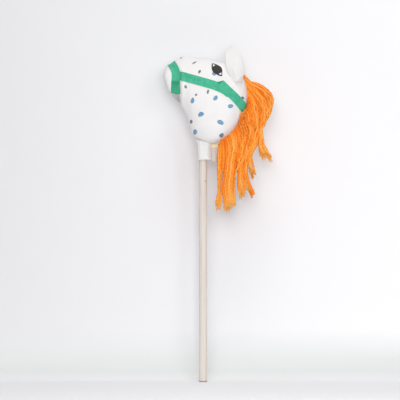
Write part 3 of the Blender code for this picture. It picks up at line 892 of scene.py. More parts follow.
@dataclass
class HeadForm:
    """The outer surface of the stuffed head, from which the cloth and all that lies on it are made."""

    width: float = 0.112
    muzzle: float = 0.074
    cloth: float = 0.0012
    rows: int = 180
    columns: int = 160
    crowding: float = 0.45
    lump: float = 0.0016
    lumps_in_metre: float = 28.0
    pucker: float = 0.0005
    pucker_pitch: float = 0.011
    seam_groove: float = 0.0013
    read: Array = field(init=False)
    grid: Array = field(init=False)
    normals: Array = field(init=False)
    tree: BVHTree = field(init=False)
    ends: Array = field(init=False)

    def __post_init__(self) -> None:
        """Works out the surface, its creases and its normals."""
        tops, lows = (place([station[k] for station in HEAD_STATIONS]) for k in (0, 1))
        half = np.array([(s[2] * self.muzzle + s[3] * self.width) / 2 for s in HEAD_STATIONS])
        steps = sum(np.linalg.norm(np.diff(line, axis=0), axis=1) for line in (tops, lows)) / 2
        knots = np.concatenate([[0], np.cumsum(steps)])
        at = np.linspace(0, knots[-1], self.rows + 2)[1:-1]
        read = self.read = spline(knots, np.column_stack([tops, lows, half]), at)
        even = FULL_TURN * np.arange(self.columns) / self.columns
        # Columns stand closer together at the two seams, where the cloth puckers
        angle = even - self.crowding / 2 * np.sin(2 * even)
        flat = np.zeros(len(read))
        top, low = (np.column_stack([read[:, k], flat, read[:, k + 1]])[:, None, :] for k in (0, 2))
        grid = (top + low) / 2 + (top - low) / 2 * np.cos(angle)[None, :, None]
        number = np.interp(at, knots, np.arange(len(knots)))
        grid[:, :, 1] = -read[:, 4][:, None] * self.section(grid, number, angle)
        self.ends = np.array([[tops[0][0], 0, tops[0][1]], [tops[-1][0], 0, tops[-1][1]]])
        outward = grid_normals(grid, closed=True)
        outward *= np.sign(((grid - (top + low) / 2) * outward).sum(-1).mean())
        self.grid, self.normals = grid + outward * self.relief(grid)[:, :, None], outward
        points, faces = self.closed(0.0)
        self.tree = BVHTree.FromPolygons([tuple(p) for p in points], [tuple(f) for f in faces])

    def section(self, grid: Array, station: Array, angle: Array) -> Array:
        """The half width round each ring as a part of the widest, negative on the right side.

        Args:
            grid: The points of the rings, of which X and Z are used.
            station: The place of each ring among the stations.
            angle: The place of each column round the head.

        Returns:
            An oval in the neck, and in the muzzle a fuller side that turns in to the chin at the seam.
        """
        read, seam = self.read, place(CHIN_SEAM)
        down, sine = -np.cos(angle)[None, :], np.sin(angle)[None, :]
        middle, reach = (read[:, 1] + read[:, 3]) / 2, (read[:, 1] - read[:, 3]) / 2
        turn = np.clip((middle - np.interp(read[:, 2], seam[:, 0], seam[:, 1])) / reach, 0.55, 0.93)[:, None]
        full = np.where(down > 0, np.maximum(0.0, 1 - np.maximum(down, 0.0) ** 4) ** 0.25, np.abs(sine))
        tucked = np.clip((1 - down) / (1 - turn), 0.0, 1.0)
        wedge = np.where(down > turn, (1 - turn ** 4) ** 0.25 * tucked ** (1.25 + 0.75 * tucked), full)
        # The chin lies between these places among the stations
        chin = (ramp(station, 1.0, 2.4) * (1 - ramp(station, 4.42, 4.72)))[:, None]
        return np.sign(sine) * (np.abs(sine) * (1 - chin) + wedge * chin)

    def relief(self, grid: Array) -> Array:
        """How far stuffing, seams and bridle move the cloth in or out.

        Args:
            grid: The smooth surface.

        Returns:
            A distance in metres for each point.
        """
        lumps = [noise.noise(Vector(p * self.lumps_in_metre)) for p in grid.reshape(-1, 3)]
        from_seam, along = np.abs(grid[:, :, 1]), lengths_along(grid[:, 0])[:, None]
        gathers = np.sin(FULL_TURN * along / self.pucker_pitch + 2 * np.sin(along * 90))
        relief = np.array(lumps).reshape(grid.shape[:2]) * self.lump
        relief = relief + gathers * np.exp(-from_seam / 0.009) * self.pucker
        relief = relief - self.seam_groove * np.exp(-(from_seam / 0.0018) ** 2)
        # The noseband presses the cloth in, and behind it the cloth swells, most of all low on the cheek
        band = smooth_line(place(NOSEBAND_LINE), 60)[::-1]
        behind = grid[:, :, 0] - np.interp(grid[:, :, 2], band[:, 1], band[:, 0])
        lower = 1 - ramp(grid[:, :, 2], NECK_BASE_Z + 0.185, NECK_BASE_Z + 0.215)
        squeeze = -0.0012 * np.exp(-(behind / 0.012) ** 4) + 0.0010 * bump(behind, 0.020, 0.007)
        squeeze += lower * (0.0026 * bump(behind, 0.0195, 0.0055) - 0.0024 * bump(behind, 0.0132, 0.0014))
        return relief + squeeze

    def moved(self, distance: float) -> tuple[Array, Array]:
        """The surface's grid and its two end points, moved out by a distance."""
        out = np.array([[1.0, 0, 0], [0, 0, 1.0]]) * distance
        return self.grid + self.normals * distance, self.ends - out

    def closed(self, distance: float, step: int = 1) -> tuple[Array, list]:
        """Points and faces of the whole closed surface.

        Args:
            distance: How far out the surface is moved.
            step: Every how many rows and columns are kept.

        Returns:
            The points and the faces.
        """
        grid, ends = self.moved(distance)
        grid = grid[::step, ::step]
        return np.concatenate([grid.reshape(-1, 3), ends]), capped_faces(*grid.shape[:2], True)

    def ring(self, row: int) -> tuple[Array, Array, float]:
        """A ring's middle in the X-Z plane, half its line from low to top point, and its half width."""
        top, low = self.read[row, :2], self.read[row, 2:4]
        return (top + low) / 2, (top - low) / 2, self.read[row, 4]

    def ring_at(self, point: tuple[float, float]) -> int:
        """The number of the ring whose top is nearest to a drawn point."""
        return int(np.linalg.norm(self.grid[:, 0][:, [0, 2]] - place([point])[0], axis=1).argmin())

    def round_back(self, row: int, offsets: Array) -> Array:
        """Points round the top of a ring, each at its distance Y from the middle line.

        Args:
            row: The ring's number.
            offsets: Distances from the middle plane, along Y.

        Returns:
            The points.
        """
        middle, reach, half = self.ring(row)
        back = middle + reach * np.cos(np.arcsin(np.clip(offsets / half, -1, 1)))[:, None]
        return np.column_stack([back[:, 0], offsets, back[:, 1]])

    def side_y(self, x: float, z: float, side: Side) -> Optional[float]:
        """Y of the surface on a side at a place in the X-Z plane, or None outside the outline."""
        hit = self.tree.ray_cast(Vector((x, side.value, z)), Vector((0, -side.value, 0)))[0]
        return hit.y if hit else None

    def on_side(self, flat: Array, side: Side) -> Array:
        """X-Z points laid on a side of the surface, with Y 0 outside the outline."""
        return np.array([(x, self.side_y(x, z, side) or 0.0, z) for x, z in flat])

    def laid(self, line: Array, side: Side) -> Array:
        """A line of X-Z points laid on one side, from its first point to where it leaves the outline.

        Args:
            line: Closely spaced X-Z points. Those outside the outline are left out.
            side: The side.

        Returns:
            Points on the surface, which begin and end on the middle line where the line crosses the outline.
        """
        read = [self.side_y(x, z, side) for x, z in line]
        inside = [i for i, y in enumerate(read) if y is not None]
        found = [np.array([line[i][0], read[i], line[i][1]]) for i in inside]
        for i, beyond in ((inside[0], inside[0] - 1), (inside[-1], inside[-1] + 1)):
            if not 0 <= beyond < len(line):
                continue
            near, far = line[i], line[beyond]
            for _ in range(14):
                middle = (near + far) / 2
                near, far = (near, middle) if self.side_y(*middle, side) is None else (middle, far)
            found.insert(0 if beyond < i else len(found), np.array([near[0], 0.0, near[1]]))
        return np.array(found)

    def nearest(self, points: Array) -> tuple[Array, Array]:
        """The nearest places on the surface, and the surface's normals there."""
        found = [self.tree.find_nearest(Vector(point)) for point in points]
        return np.array([f[0] for f in found]), np.array([f[1] for f in found])

    def kept_clear(self, points: Array, distance: float) -> Array:
        """Points moved out of the head, so that each is at least a distance from its surface.

        Args:
            points: The points.
            distance: The least distance.

        Returns:
            The moved points.
        """
        spots, outward = self.nearest(points)
        short = np.maximum(0.0, distance - ((points - spots) * outward).sum(1))
        return points + outward * short[:, None]

    def patch(self, name: str, side: Side, drawn: Sequence[tuple[float, float]], lift: float,
              thickness: float, rings: int) -> Piece:
        """A flat piece with a rounded edge, laid on one side of the head.

        Args:
            name: The piece's name.
            side: The side of the head.
            drawn: The points of its outline.
            lift: How far above the cloth it lies.
            thickness: Its thickness.
            rings: Number of rings of faces from its middle to its edge.

        Returns:
            The new object.
        """
        rim = even_line(place([*drawn, drawn[0]]), 97)[:-1]
        middle = rim.mean(0)
        shares = np.linspace(0, 1, rings + 1)[1:] ** 0.8
        flat = np.concatenate([[middle]] + [middle + (rim - middle) * share for share in shares])
        base = self.on_side(flat, side)
        _, outward = self.nearest(base)
        crown = np.array([1.0, *np.repeat(np.sqrt(1 - (0.93 * shares) ** 8), len(rim))])
        high = base + outward * (lift + thickness * (0.35 + 0.65 * crown))[:, None]
        count, sides = len(flat), len(rim)
        faces = []
        for first, turn in ((0, 1), (count, -1)):
            faces += [(first, first + 1 + k, first + 1 + (k + 1) % sides)[::turn] for k in range(sides)]
            faces += [tuple(ring)[::-turn] for ring in grid_faces(rings, sides, True, first + 1)]
        edge = np.arange(sides) + 1 + (rings - 1) * sides
        faces += [(a, a + count, b + count, b) for a, b in zip(edge, np.roll(edge, -1))]
        obj = mesh_object(name, np.concatenate([high, base + outward * lift]), faces)
        if sum(Vector(outward[0]).dot(polygon.normal) for polygon in obj.data.polygons[:sides]) < 0:
            obj.data.flip_normals()
        return obj


@dataclass
class Stick:
    """The round stick and the card tube in the filling that takes its end."""

    wood: BirchDowel = BirchDowel()
    card: GreyCard = GreyCard()

    def build(self) -> None:
        """Dresses the CAD model's own stick and tube, whose shapes are right."""
        for node, finish in (("stick", self.wood), ("socket_tube", self.card)):
            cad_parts[node].material_slots[0].material = finish.material()
            LOG.info("%s: CAD shape with %s", node, finish.name)


@dataclass(frozen=True)
class Dot:
    """A printed dot: X, Z, long and short radius in mm, its tilt in degrees and its ink."""

    x: float
    z: float
    long: float
    short: float
    tilt: float
    ink: str


BLUE, DUSK, SLATE, VIOLET, MOSS = "5D93BB", "4F7A96", "6B6D70", "65648F", "5E7D74"
LEFT_DOTS = (
    Dot(-60.8, 236.8, 2.8, 2.2, 0, SLATE), Dot(-24.2, 222.8, 6.6, 2.1, 32, SLATE),
    Dot(-9.9, 198.0, 5.2, 3.6, 70, SLATE), Dot(30.3, 192.2, 6.0, 5.0, 0, BLUE),
    Dot(-47.9, 156.5, 5.4, 3.4, 118, DUSK), Dot(-19.3, 134.5, 3.6, 3.4, 0, VIOLET),
    Dot(-29.2, 118.5, 8.4, 4.9, 74, BLUE), Dot(13.2, 143.0, 6.4, 3.4, 76, MOSS),
    Dot(34.1, 125.7, 7.4, 5.8, 55, BLUE), Dot(75.1, 103.4, 7.2, 6.0, 25, BLUE),
    Dot(-6.1, 81.1, 8.8, 6.0, 38, BLUE), Dot(-32.7, 61.1, 5.6, 3.5, 88, VIOLET),
    Dot(47.6, 59.1, 10.0, 6.0, -32, BLUE), Dot(-22.0, 33.0, 7.0, 5.4, 70, BLUE),
    Dot(50.6, 23.4, 6.4, 5.8, 40, DUSK), Dot(108.3, 126.0, 5.0, 4.2, 0, VIOLET),
)
RIGHT_DOTS = (
    Dot(-50.0, 214.0, 5.4, 4.2, 20, DUSK), Dot(-18.0, 205.0, 6.2, 4.6, -30, BLUE),
    Dot(8.0, 222.0, 5.6, 4.4, 50, SLATE), Dot(74.0, 190.0, 6.8, 5.0, 20, BLUE),
    Dot(-44.0, 140.0, 6.4, 4.2, 70, BLUE), Dot(-12.0, 150.0, 4.4, 3.8, 0, VIOLET),
    Dot(-34.0, 104.0, 5.0, 4.0, 100, DUSK), Dot(2.0, 118.0, 8.0, 5.6, 60, BLUE),
    Dot(38.0, 138.0, 5.4, 4.2, 15, DUSK), Dot(66.0, 110.0, 8.0, 5.8, -20, BLUE),
    Dot(20.0, 84.0, 6.0, 4.6, 30, BLUE), Dot(-20.0, 66.0, 7.4, 5.2, -50, BLUE),
    Dot(66.0, 66.0, 6.2, 5.0, 75, DUSK), Dot(12.0, 44.0, 8.8, 6.0, 10, BLUE),
    Dot(44.0, 30.0, 5.2, 4.4, 0, VIOLET), Dot(96.0, 84.0, 6.4, 5.2, 40, BLUE),
)


@dataclass
class Head:
    """The stuffed head: two cloth panels sewn along the middle, and the filling in them."""

    form: HeadForm
    below: float = NECK_BASE_Z - 0.02
    hole: float = 0.0113
    hole_top: float = NECK_BASE_Z + 0.023
    tube: float = 0.0134
    tube_top: float = 0.7786
    far: float = 0.05

    def build(self) -> None:
        """Makes the panels, prints their dots and puts the filling in."""
        cotton = WhiteCotton(name="bleached_cotton_printed_dots", dotted=True).material()
        for side, dots in ((Side.LEFT, LEFT_DOTS), (Side.RIGHT, RIGHT_DOTS)):
            panel = self.panel(side)
            bore(panel, self.hole, self.below, self.hole_top)
            self.print_dots(panel, side, dots)
            dress(panel, cotton, [f"head_cloth_{side.word}"])
        filling = mesh_object("head_filling", *self.form.closed(-self.form.cloth - GAP, 3))
        bore(filling, self.tube, self.below, self.tube_top)
        dress(filling, PolyesterFibre().material(), ["head_stuffing"])

    def panel(self, side: Side) -> Piece:
        """One side's cloth with its thickness, open nowhere.

        Args:
            side: The side.

        Returns:
            The new object.
        """
        form, half = self.form, self.form.columns // 2
        order = np.arange(half + 1)
        if side is Side.RIGHT:
            order = (form.columns - order) % form.columns
        points = []
        for distance in (0.0, -form.cloth):
            grid, ends = form.moved(distance)
            grid = grid[:, order]
            grid[:, :, 1] = side.value * np.maximum(np.abs(grid[:, :, 1]), GAP / 2)
            points += [grid.reshape(-1, 3), ends + np.array([0.0, side.value * GAP / 2, 0.0])]
        columns, last = half + 1, form.rows * (half + 1)
        outer, block = capped_faces(form.rows, columns, False), last + 2
        faces = [face[::-1] for face in outer] + [tuple(v + block for v in face) for face in outer]
        for k, turn in ((0, 1), (half, -1)):
            rim = [last, *range(k, last, columns), last + 1]
            faces += [(a, b, b + block, a + block)[::turn] for a, b in zip(rim, rim[1:])]
        obj = mesh_object(f"head_panel_{side.word}", np.concatenate(points), faces, 60.0)
        if sum(face.normal.y * face.center.y for face in obj.data.polygons[:len(outer)]) < 0:
            obj.data.flip_normals()
        return obj

    def print_dots(self, panel: Piece, side: Side, dots: Sequence[Dot]) -> None:
        """Stores the distance to the nearest dot's edge, its ink and the painted shade under the chin at each
        vertex.

        Args:
            panel: The cloth.
            side: Its side.
            dots: The dots on that side.
        """
        points = vertex_places(panel)
        edge = np.full(len(points), self.far)
        ink = np.tile(np.array(colour(BLUE)[:3]), (len(points), 1))
        for number, dot in enumerate(dots):
            away = points - self.form.on_side(place([(dot.x, dot.z)]), side)[0]
            cosine, sine = math.cos(math.radians(dot.tilt)), math.sin(math.radians(dot.tilt))
            u = (away[:, 0] * cosine + away[:, 2] * sine) / (dot.long * MM)
            v = (away[:, 2] * cosine - away[:, 0] * sine) / (dot.short * MM)
            bearing = np.arctan2(v, u)
            # Hand-cut looking outlines: each dot leans a little to one side
            uneven = 1 + 0.07 * np.sin(2 * bearing + number) + 0.05 * np.sin(3 * bearing + 2.3 * number)
            value = (np.hypot(u, v) / uneven - 1) * dot.short * MM
            nearer = (value < edge) & (np.linalg.norm(away, axis=1) < 0.03)
            edge[nearer] = value[nearer]
            ink[nearer] = colour(dot.ink)[:3]
        store(panel, "dot_edge", edge)
        store(panel, "dot_ink", ink)
        # Painted shade: the cloth under the chin, behind the noseband's end, is greyed for the shadow there
        x, line = points[:, 0], place(PAINTED_CHIN_SHADE_EDGE)
        below = np.interp(x, line[:, 0], line[:, 1]) - points[:, 2]
        grey = ramp(below, 0.0, 0.003) * ramp(x, line[0][0], -0.068) * (1 - ramp(x, -0.066, -0.058))
        store(panel, "handled", grey)


class Course(Enum):
    """How a tape runs over the head."""

    NOSE = "across the nose, from the chin's seam on one side to the other"
    NAPE = "over the neck's back"
    LEFT = "on the left side"
    RIGHT = "on the right side"


@dataclass
class Bridle:
    """The tape bridle: noseband, cheek straps, nape strap and the folds at its corners."""

    form: HeadForm
    width: float = 0.024
    thickness: float = 0.001
    columns: int = 9
    lap: float = 0.0007
    thread: float = 0.00035
    paint: Paint = field(init=False)

    def build(self) -> None:
        """Makes each tape, its corner folds and its stitches."""
        self.paint = GreenTape().material()
        sewing = EyeFelt(name="green_sewing_thread", light="3FAE88", deep="2F9C76").material()
        self.tape("noseband_tape", NOSEBAND_LINE, Course.NOSE, 0.0, "noseband")
        for side in Side:
            name, node = f"cheek_tape_{side.word}", f"cheek_strap_{side.word}"
            self.tape(name, CHEEK_LINE, Course[side.name], 0.0, node)
        self.tape("nape_tape", NAPE_LINE, Course.NAPE, 0.0012, "nape_strap")
        for side in Side:
            fold = self.form.patch(f"corner_fold_{side.word}", side, CORNER_FOLD, 0.0013, 0.0007, 5)
            flat = vertex_places(fold)
            # Painted shade: the whole fold is darkened most of the way to the tape's shaded colour
            store(fold, "lay", np.column_stack([flat[:, 0], flat[:, 2], np.full(len(flat), 0.8)]))
            dress(fold, self.paint)
        for side in Side:
            stitches = strands_object(f"bridle_stitches_{side.word}", self.stitches(side), 6, relief=0.0)
            dress(stitches, sewing)

    def run(self, line: Array, course: Course) -> Array:
        """One line along a tape, laid on the head.

        Args:
            line: Closely spaced X-Z points.
            course: How the tape runs.

        Returns:
            Evenly spaced points on the head.
        """
        left, right = (self.form.laid(line, side) for side in Side)
        if course is Course.NOSE:
            seam = place(CHIN_SEAM).T
            left, right = (half[half[:, 2] > np.interp(half[:, 0], *seam) - 0.0012] for half in (left, right))
            return np.concatenate([even_line(left, 80)[::-1], even_line(right, 80)[1:]])
        if course is Course.NAPE:
            return np.concatenate([even_line(left, 56), even_line(right, 56)[::-1][1:]])
        return even_line(left if course is Course.LEFT else right, 60)

    def tape(self, name: str, drawn: Sequence[tuple[float, float]], course: Course, lift: float,
             node: str) -> None:
        """One tape laid on the head.

        Args:
            name: The piece's name.
            drawn: Points of its middle line.
            course: How it runs.
            lift: How far above the cloth its ends lie, on another tape.
            node: The CAD node that it stands for.
        """
        middle = smooth_line(place(drawn), 260)
        offsets = np.linspace(-self.width / 2, self.width / 2, self.columns)
        grid = np.stack([self.run(moved_across(middle, offset), course) for offset in offsets], axis=1)
        _, normals = self.form.nearest(grid.reshape(-1, 3))
        outward = grid_normals(grid)
        outward *= np.sign((outward.reshape(-1, 3) * normals).sum(1).mean())
        # The woven edges are a little thicker than the tape between them
        edge = 1 + 0.15 * (np.abs(offsets) > self.width / 2 * 0.8)
        along = lengths_along(grid[:, self.columns // 2])
        height = grid[:, :, 2] - NECK_BASE_Z
        shade = extra = np.zeros(height.shape)
        if course is Course.NOSE:
            # The tape's two ends lap below the cheek tape. Painted shade darkens the tape there and, less,
            # from there down
            shade = (0.45 + 0.35 * ramp(height, 0.1605, 0.1625)) * (1 - ramp(height, 0.1715, 0.1745))
            extra = ramp(height, 0.130, 0.162) * (1 - ramp(height, 0.1715, 0.1735)) * self.lap
        elif course is not Course.NAPE:
            # Painted shade: each cheek tape is darker at its start, by the noseband
            shade = np.repeat((0.55 * (1 - ramp(along, 0.003, 0.009)))[:, None], self.columns, axis=1)
        from_end = np.minimum(along, along[-1] - along)[:, None]
        base = GAP + lift * (1 - ramp(from_end, 0.022, 0.036))
        low = grid + outward * base[:, :, None]
        high = grid + outward * (base + self.thickness * edge[None, :] + extra)[:, :, None]
        obj = cloth_shell(name, high, low)
        across = np.tile(offsets + 0.03, len(along))
        lay = np.stack([np.repeat(along, self.columns), across, shade.ravel()], -1)
        store(obj, "lay", np.concatenate([lay, lay]))
        dress(obj, self.paint, [node])

    def stitches(self, side: Side) -> list[Strand]:
        """Short stitches where the cheek tape is sewn to the noseband and to the nape tape.

        Args:
            side: The side.

        Returns:
            The stitches.
        """
        found = []
        for seam in TAPE_SEAMS:
            laid = self.form.laid(even_line(place(seam), 25), side)
            laid = laid + self.form.nearest(laid)[1] * (GAP + self.thickness * 1.5)
            for k in range(0, len(laid) - 3, 4):
                found.append(Strand(even_line(laid[k:k + 3], 4), np.full(4, self.thread)))
        return found


@dataclass
class Eyes:
    """The two eyes: a black patch with a sewn edge and two pale glints on each side."""

    form: HeadForm
    thickness: float = 0.0008
    edge: float = 0.0007

    def build(self) -> None:
        """Makes the patches, glints and edge threads of both sides."""
        black = EyeFelt().material()
        white = EyeFelt(name="white_embroidery_thread", light="F6F5F3", deep="E8E6E4").material()
        for side in Side:
            eye = self.form.patch(f"eye_patch_{side.word}", side, EYE_OUTLINE, GAP, self.thickness, 8)
            dress(eye, black, [f"eye_{side.word}"])
            for number, outline in enumerate(EYE_GLINTS, 1):
                name = f"eye_glint_{side.word}_{number}"
                glint = self.form.patch(name, side, outline, GAP + self.thickness, 0.0004, 4)
                dress(glint, white)
            path = self.form.on_side(even_line(place([*EYE_OUTLINE, EYE_OUTLINE[0]]), 120), side)
            path += self.form.nearest(path)[1] * (GAP + self.thickness * 0.5)
            thread = Strand(path, np.full(len(path), self.edge))
            dress(strands_object(f"eye_edge_{side.word}", [thread], 6, 2, 0.004, 0.2), black)


@dataclass
class Ears:
    """The two ears, each of an outer cloth and a lining, pleated at the foot."""

    form: HeadForm
    layer: float = 0.0013
    cup: float = 0.009
    lean: float = 0.006
    seat: float = 0.0006
    hem: float = 0.0011
    stand: float = 0.0030
    rows: int = 90
    columns: int = 49

    def build(self) -> None:
        """Makes both layers of both ears."""
        # A slightly darker copy of the head's white cotton, as painted shade
        cotton = WhiteCotton(light="EFEDEC", shade="E5E2E1").material()
        for side in Side:
            middle, outward, taper = self.surface(side)
            for layer, direction in (("lining", -1), ("outer", 1)):
                near = middle + outward * (direction * GAP / 2)
                far = middle + outward * (direction * (GAP / 2 + self.layer * taper))[:, :, None]
                piece = cloth_shell(f"ear_{layer}_cloth_{side.word}", far, near)
                dress(piece, cotton, [f"ear_{side.word}_{layer}"], f"ear_{side.word}")

    def surface(self, side: Side) -> tuple[Array, Array, Array]:
        """The surface between the two layers.

        Args:
            side: The ear's side.

        Returns:
            Its points, its outward direction at each, and how thick a layer is there, 1 being the most.
        """
        front, rear = (smooth_line(place(edge), self.rows) for edge in (EAR_FRONT_EDGE, EAR_REAR_EDGE))
        t = np.linspace(0, 1, self.rows)[:, None]
        v = np.linspace(0, 1, self.columns)[None, :]
        flat = front[:, None, :] * (1 - v[:, :, None]) + rear[:, None, :] * v[:, :, None]
        # The two edges close to a round tip
        close = np.clip((t - 0.93) / 0.07, 0, 1)[:, :, None]
        rounded = 1 - np.sqrt(np.maximum(0.0, 1 - (0.96 * close) ** 2))
        flat = flat + ((front[-1] + rear[-1]) / 2 - flat) * rounded
        foot = (front[0][0] + rear[0][0]) / 2, min(front[0][1], rear[0][1])
        swell = self.cup * np.sin(math.pi * np.minimum(1.0, 0.25 + t)) * (1 - (2 * v - 1) ** 2)
        hem = self.hem * (1 - ramp(v, 0.09, 0.13)) * ramp(t, 0.22, 0.34)
        pleats = sum(height * bump(v, at, reach) for height, at, reach in EAR_PLEATS)
        pleats = pleats * (1 - ramp(t, 0.08, 0.2))
        tucks = sum(height * bump(v, across, wide) * bump(t, along, long)
                    for height, across, wide, along, long in EAR_TUCKS)
        stand = self.stand * (1 - v) ** 6 * bump(t, 0.2, 0.12)
        out = abs(self.form.side_y(*foot, side)) + self.lean * t + np.maximum(0.0, swell)
        out = out + hem + pleats + tucks + stand
        skin = np.abs(self.form.on_side(flat.reshape(-1, 2), side)[:, 1]).reshape(flat.shape[:2])
        out = np.maximum(out, skin) + self.seat + self.layer + GAP / 2
        grid = np.stack([flat[:, :, 0], side.value * out, flat[:, :, 1]], -1)
        outward = grid_normals(grid)
        outward *= np.sign((outward[:, :, 1] * side.value).sum())
        # Each layer thins out at its sides and at the tip
        sides = np.sqrt(np.maximum(0.0, 1 - np.abs(2 * v - 1) ** 8))
        tip = np.sqrt(np.clip((1 - t) / 0.04, 0, 1))
        return grid, outward, 0.3 + 0.7 * sides * tip


@dataclass
class Neck:
    """The cloth sleeve under the neck and the blank label in its seam."""

    form: HeadForm
    hem: float = 0.6086
    half_x: float = 0.0189
    half_y: float = 0.017
    shift: float = 0.0038
    cloth: float = 0.0012
    rows: int = 34
    columns: int = 96
    label_left: float = 0.0232
    label_right: float = 0.0365
    label_widens: float = 0.0125
    label_low: float = NECK_BASE_Z - 0.0460
    label_high: float = NECK_BASE_Z - 0.0012
    band_low: float = NECK_BASE_Z - 0.0092

    def build(self) -> None:
        """Makes the sleeve and the label."""
        # A slightly darker copy of the head's white cotton, as painted shade under the head
        cotton = WhiteCotton(name="bleached_cotton_sleeve", light="EEECEB", shade="E4E1E0").material()
        outside, inside = self.sleeve(0.0), self.sleeve(self.cloth)
        piece = cloth_shell("sleeve_cloth", outside, inside, closed=True)
        dress(piece, cotton, ["neck_sleeve"])
        self.label()

    def sleeve(self, shrink: float) -> Array:
        """One side of the sleeve's cloth, from the hem up to the head.

        Args:
            shrink: How far it lies inside the outer side.

        Returns:
            A grid of points.
        """
        t = np.linspace(0, 1, self.rows)
        grid = np.empty((self.rows, self.columns, 3))
        for k, a in enumerate(FULL_TURN * np.arange(self.columns) / self.columns):
            x, y = self.shift + (self.half_x - shrink) * math.cos(a), (self.half_y - shrink) * math.sin(a)
            hit = self.form.tree.ray_cast(Vector((x, y, self.hem)), Vector((0, 0, 1)))[0]
            top = hit.z - 0.0006 - shrink * 0.3
            # The hem rises a little in the middle of each side
            height = self.hem + (top - self.hem) * t + 0.0030 * abs(math.sin(a)) ** 1.5 * (1 - t) ** 2
            # Soft upright folds that die out at the hem, a turned-up hem and a slight flare at the top
            folds = 0.0007 * np.sin(5 * a + 1.2) * np.sin(math.pi * t) + 0.0004 * np.sin(11 * a) * t
            flare = 0.0010 * t ** 3 + 0.0034 * t ** 2.5 * max(0.0, -math.cos(a)) ** 1.5
            push = folds + flare
            if not shrink:
                push += (0.0007 * np.exp(-((height - self.hem) / 0.0065) ** 8)
                         - 0.0005 * bump(height, self.hem + 0.0072, 0.0009))
            grid[:, k] = np.column_stack([x + push * math.cos(a), y + push * math.sin(a), height])
        return grid

    def label(self) -> None:
        """The blank folded label behind the sleeve, with a plain pale yellow upper edge."""
        satin = SatinLabel(band_low=self.band_low).material()
        wide, tall = self.label_right - self.label_left, self.label_high - self.label_low
        u, v = np.meshgrid(np.linspace(0, 1, 16), np.linspace(0, 1, 34))
        z = self.label_low + tall * v
        wider = self.label_widens * np.clip((z - (NECK_BASE_Z - 0.0105)) / 0.002, 0, 1)
        wave = 0.0008 * np.sin(3.1 * u + 4.2 * v) * (1 - v)
        middle = np.stack([self.label_left + (wide + wider) * u, wave, z], -1)
        for side in Side:
            # The two layers of the folded ribbon close at the fold, away from the sleeve
            spread = (0.00015 + 0.0009 * np.sqrt(1 - u ** 4)) * side.value
            near, far = (middle + np.stack([0 * u, spread * share, 0 * u], -1) for share in (0.2, 1.0))
            piece = cloth_shell(f"label_ribbon_{side.word}", far, near)
            dress(piece, satin, ["sewn_label"] if side is Side.LEFT else [])


@dataclass(frozen=True)
class Sway:
    """Waves along strands: pitch and height in metres, where each starts and how its pitch differs."""

    waves: tuple[tuple[float, float], ...]
    starts: Array
    pitches: Array

    def at(self, run: Array, number: int) -> Array:
        """How far one of the waves moves a strand, at distances along the strand."""
        pitch, height = self.waves[number]
        return height * np.sin(FULL_TURN * (run / (pitch * self.pitches[number]) + self.starts[number]))


@dataclass(frozen=True)
class Lock:
    """A lock of yarn: its two edges from root to tip, its wave, how far down its strands reach across it, and
    where it parts from the next locks."""

    outer: tuple[tuple[float, float], ...]
    inner: tuple[tuple[float, float], ...]
    wave: float
    reach: tuple[float, ...]
    parts: float = 0.72


# The edges at which neighbouring locks lie side by side, from the roots down to where they part
EDGES = (
    ((116.0, 155.5), (124.5, 147.0), (136.5, 130.5), (148.9, 103.0), (154.8, 71.5), (153.5, 38.5)),
    ((117.0, 125.0), (124.0, 115.0), (131.0, 92.0), (134.0, 55.0), (130.4, 19.2)),
    ((106.5, 84.5), (114.5, 72.0), (123.0, 49.0), (124.0, 16.5), (117.0, -16.5)),
    ((86.5, 52.5), (96.0, 37.0), (101.5, 11.0)),
    ((49.5, 17.0), (56.0, 2.0)),
)
MANE_LOCKS = (
    Lock(((111.0, 188.0), (122.7, 182.0), (128.0, 175.5), (146.3, 170.5), (160.1, 165.6), (171.9, 158.7),
          (181.5, 148.8), (190.6, 138.1), (195.0, 125.4), (193.9, 109.7), (189.5, 93.8), (181.5, 76.2),
          (166.5, 49.5), (163.6, 38.0), (165.8, 24.0), (170.2, -1.4), (184.0, -26.4), (191.4, -50.2)),
         EDGES[0] + ((151.5, 8.5), (152.6, -14.0), (159.0, -40.0)), 1.0, (1.0, 0.99, 0.95, 0.98, 1.0)),
    Lock(EDGES[0] + ((151.5, 4.0), (145.5, -10.5), (138.5, -21.5), (134.2, -39.0), (136.0, -61.6),
                     (142.7, -86.6)),
         EDGES[1] + ((123.5, -16.5), (122.0, -50.0), (130.0, -86.0)), 1.0, (1.0, 0.99, 0.98, 0.97, 0.95)),
    Lock(EDGES[1] + ((125.0, -16.5), (123.5, -52.2), (124.0, -86.6), (130.4, -108.9), (142.7, -141.6)),
         EDGES[2] + ((113.5, -52.2), (114.0, -99.0), (119.5, -129.0)), 0.8, (1.0, 0.99, 0.97, 0.97, 0.97)),
    Lock(EDGES[2] + ((114.5, -52.2), (116.0, -99.0), (118.5, -126.0)),
         EDGES[3] + ((98.5, -22.0), (95.5, -52.0), (94.8, -95.0), (95.2, -126.5), (104.5, -160.0)),
         0.7, (0.98, 1.0, 1.0, 0.98, 0.97), 0.62),
    Lock(EDGES[3] + ((98.0, -22.0), (92.5, -52.0), (89.5, -93.5), (88.0, -126.5), (91.0, -169.5)),
         EDGES[4] + ((60.0, -30.0), (58.5, -57.7), (53.0, -93.5), (50.0, -132.0), (55.0, -159.5),
                     (57.5, -181.5)),
         0.45, (1.0, 0.98, 1.0, 1.05, 1.0), 0.52),
    Lock(EDGES[4] + ((60.5, -30.0), (59.0, -57.7), (51.5, -93.5), (48.0, -132.0), (50.0, -159.5),
                     (45.1, -187.0)),
         ((46.5, 9.0), (43.0, -6.0), (38.2, -22.0), (37.6, -61.6), (39.6, -91.6), (41.0, -111.4),
          (39.0, -136.4), (31.5, -161.4)), 0.35, (0.97, 1.0, 1.0, 1.02, 1.0), 0.48),
)
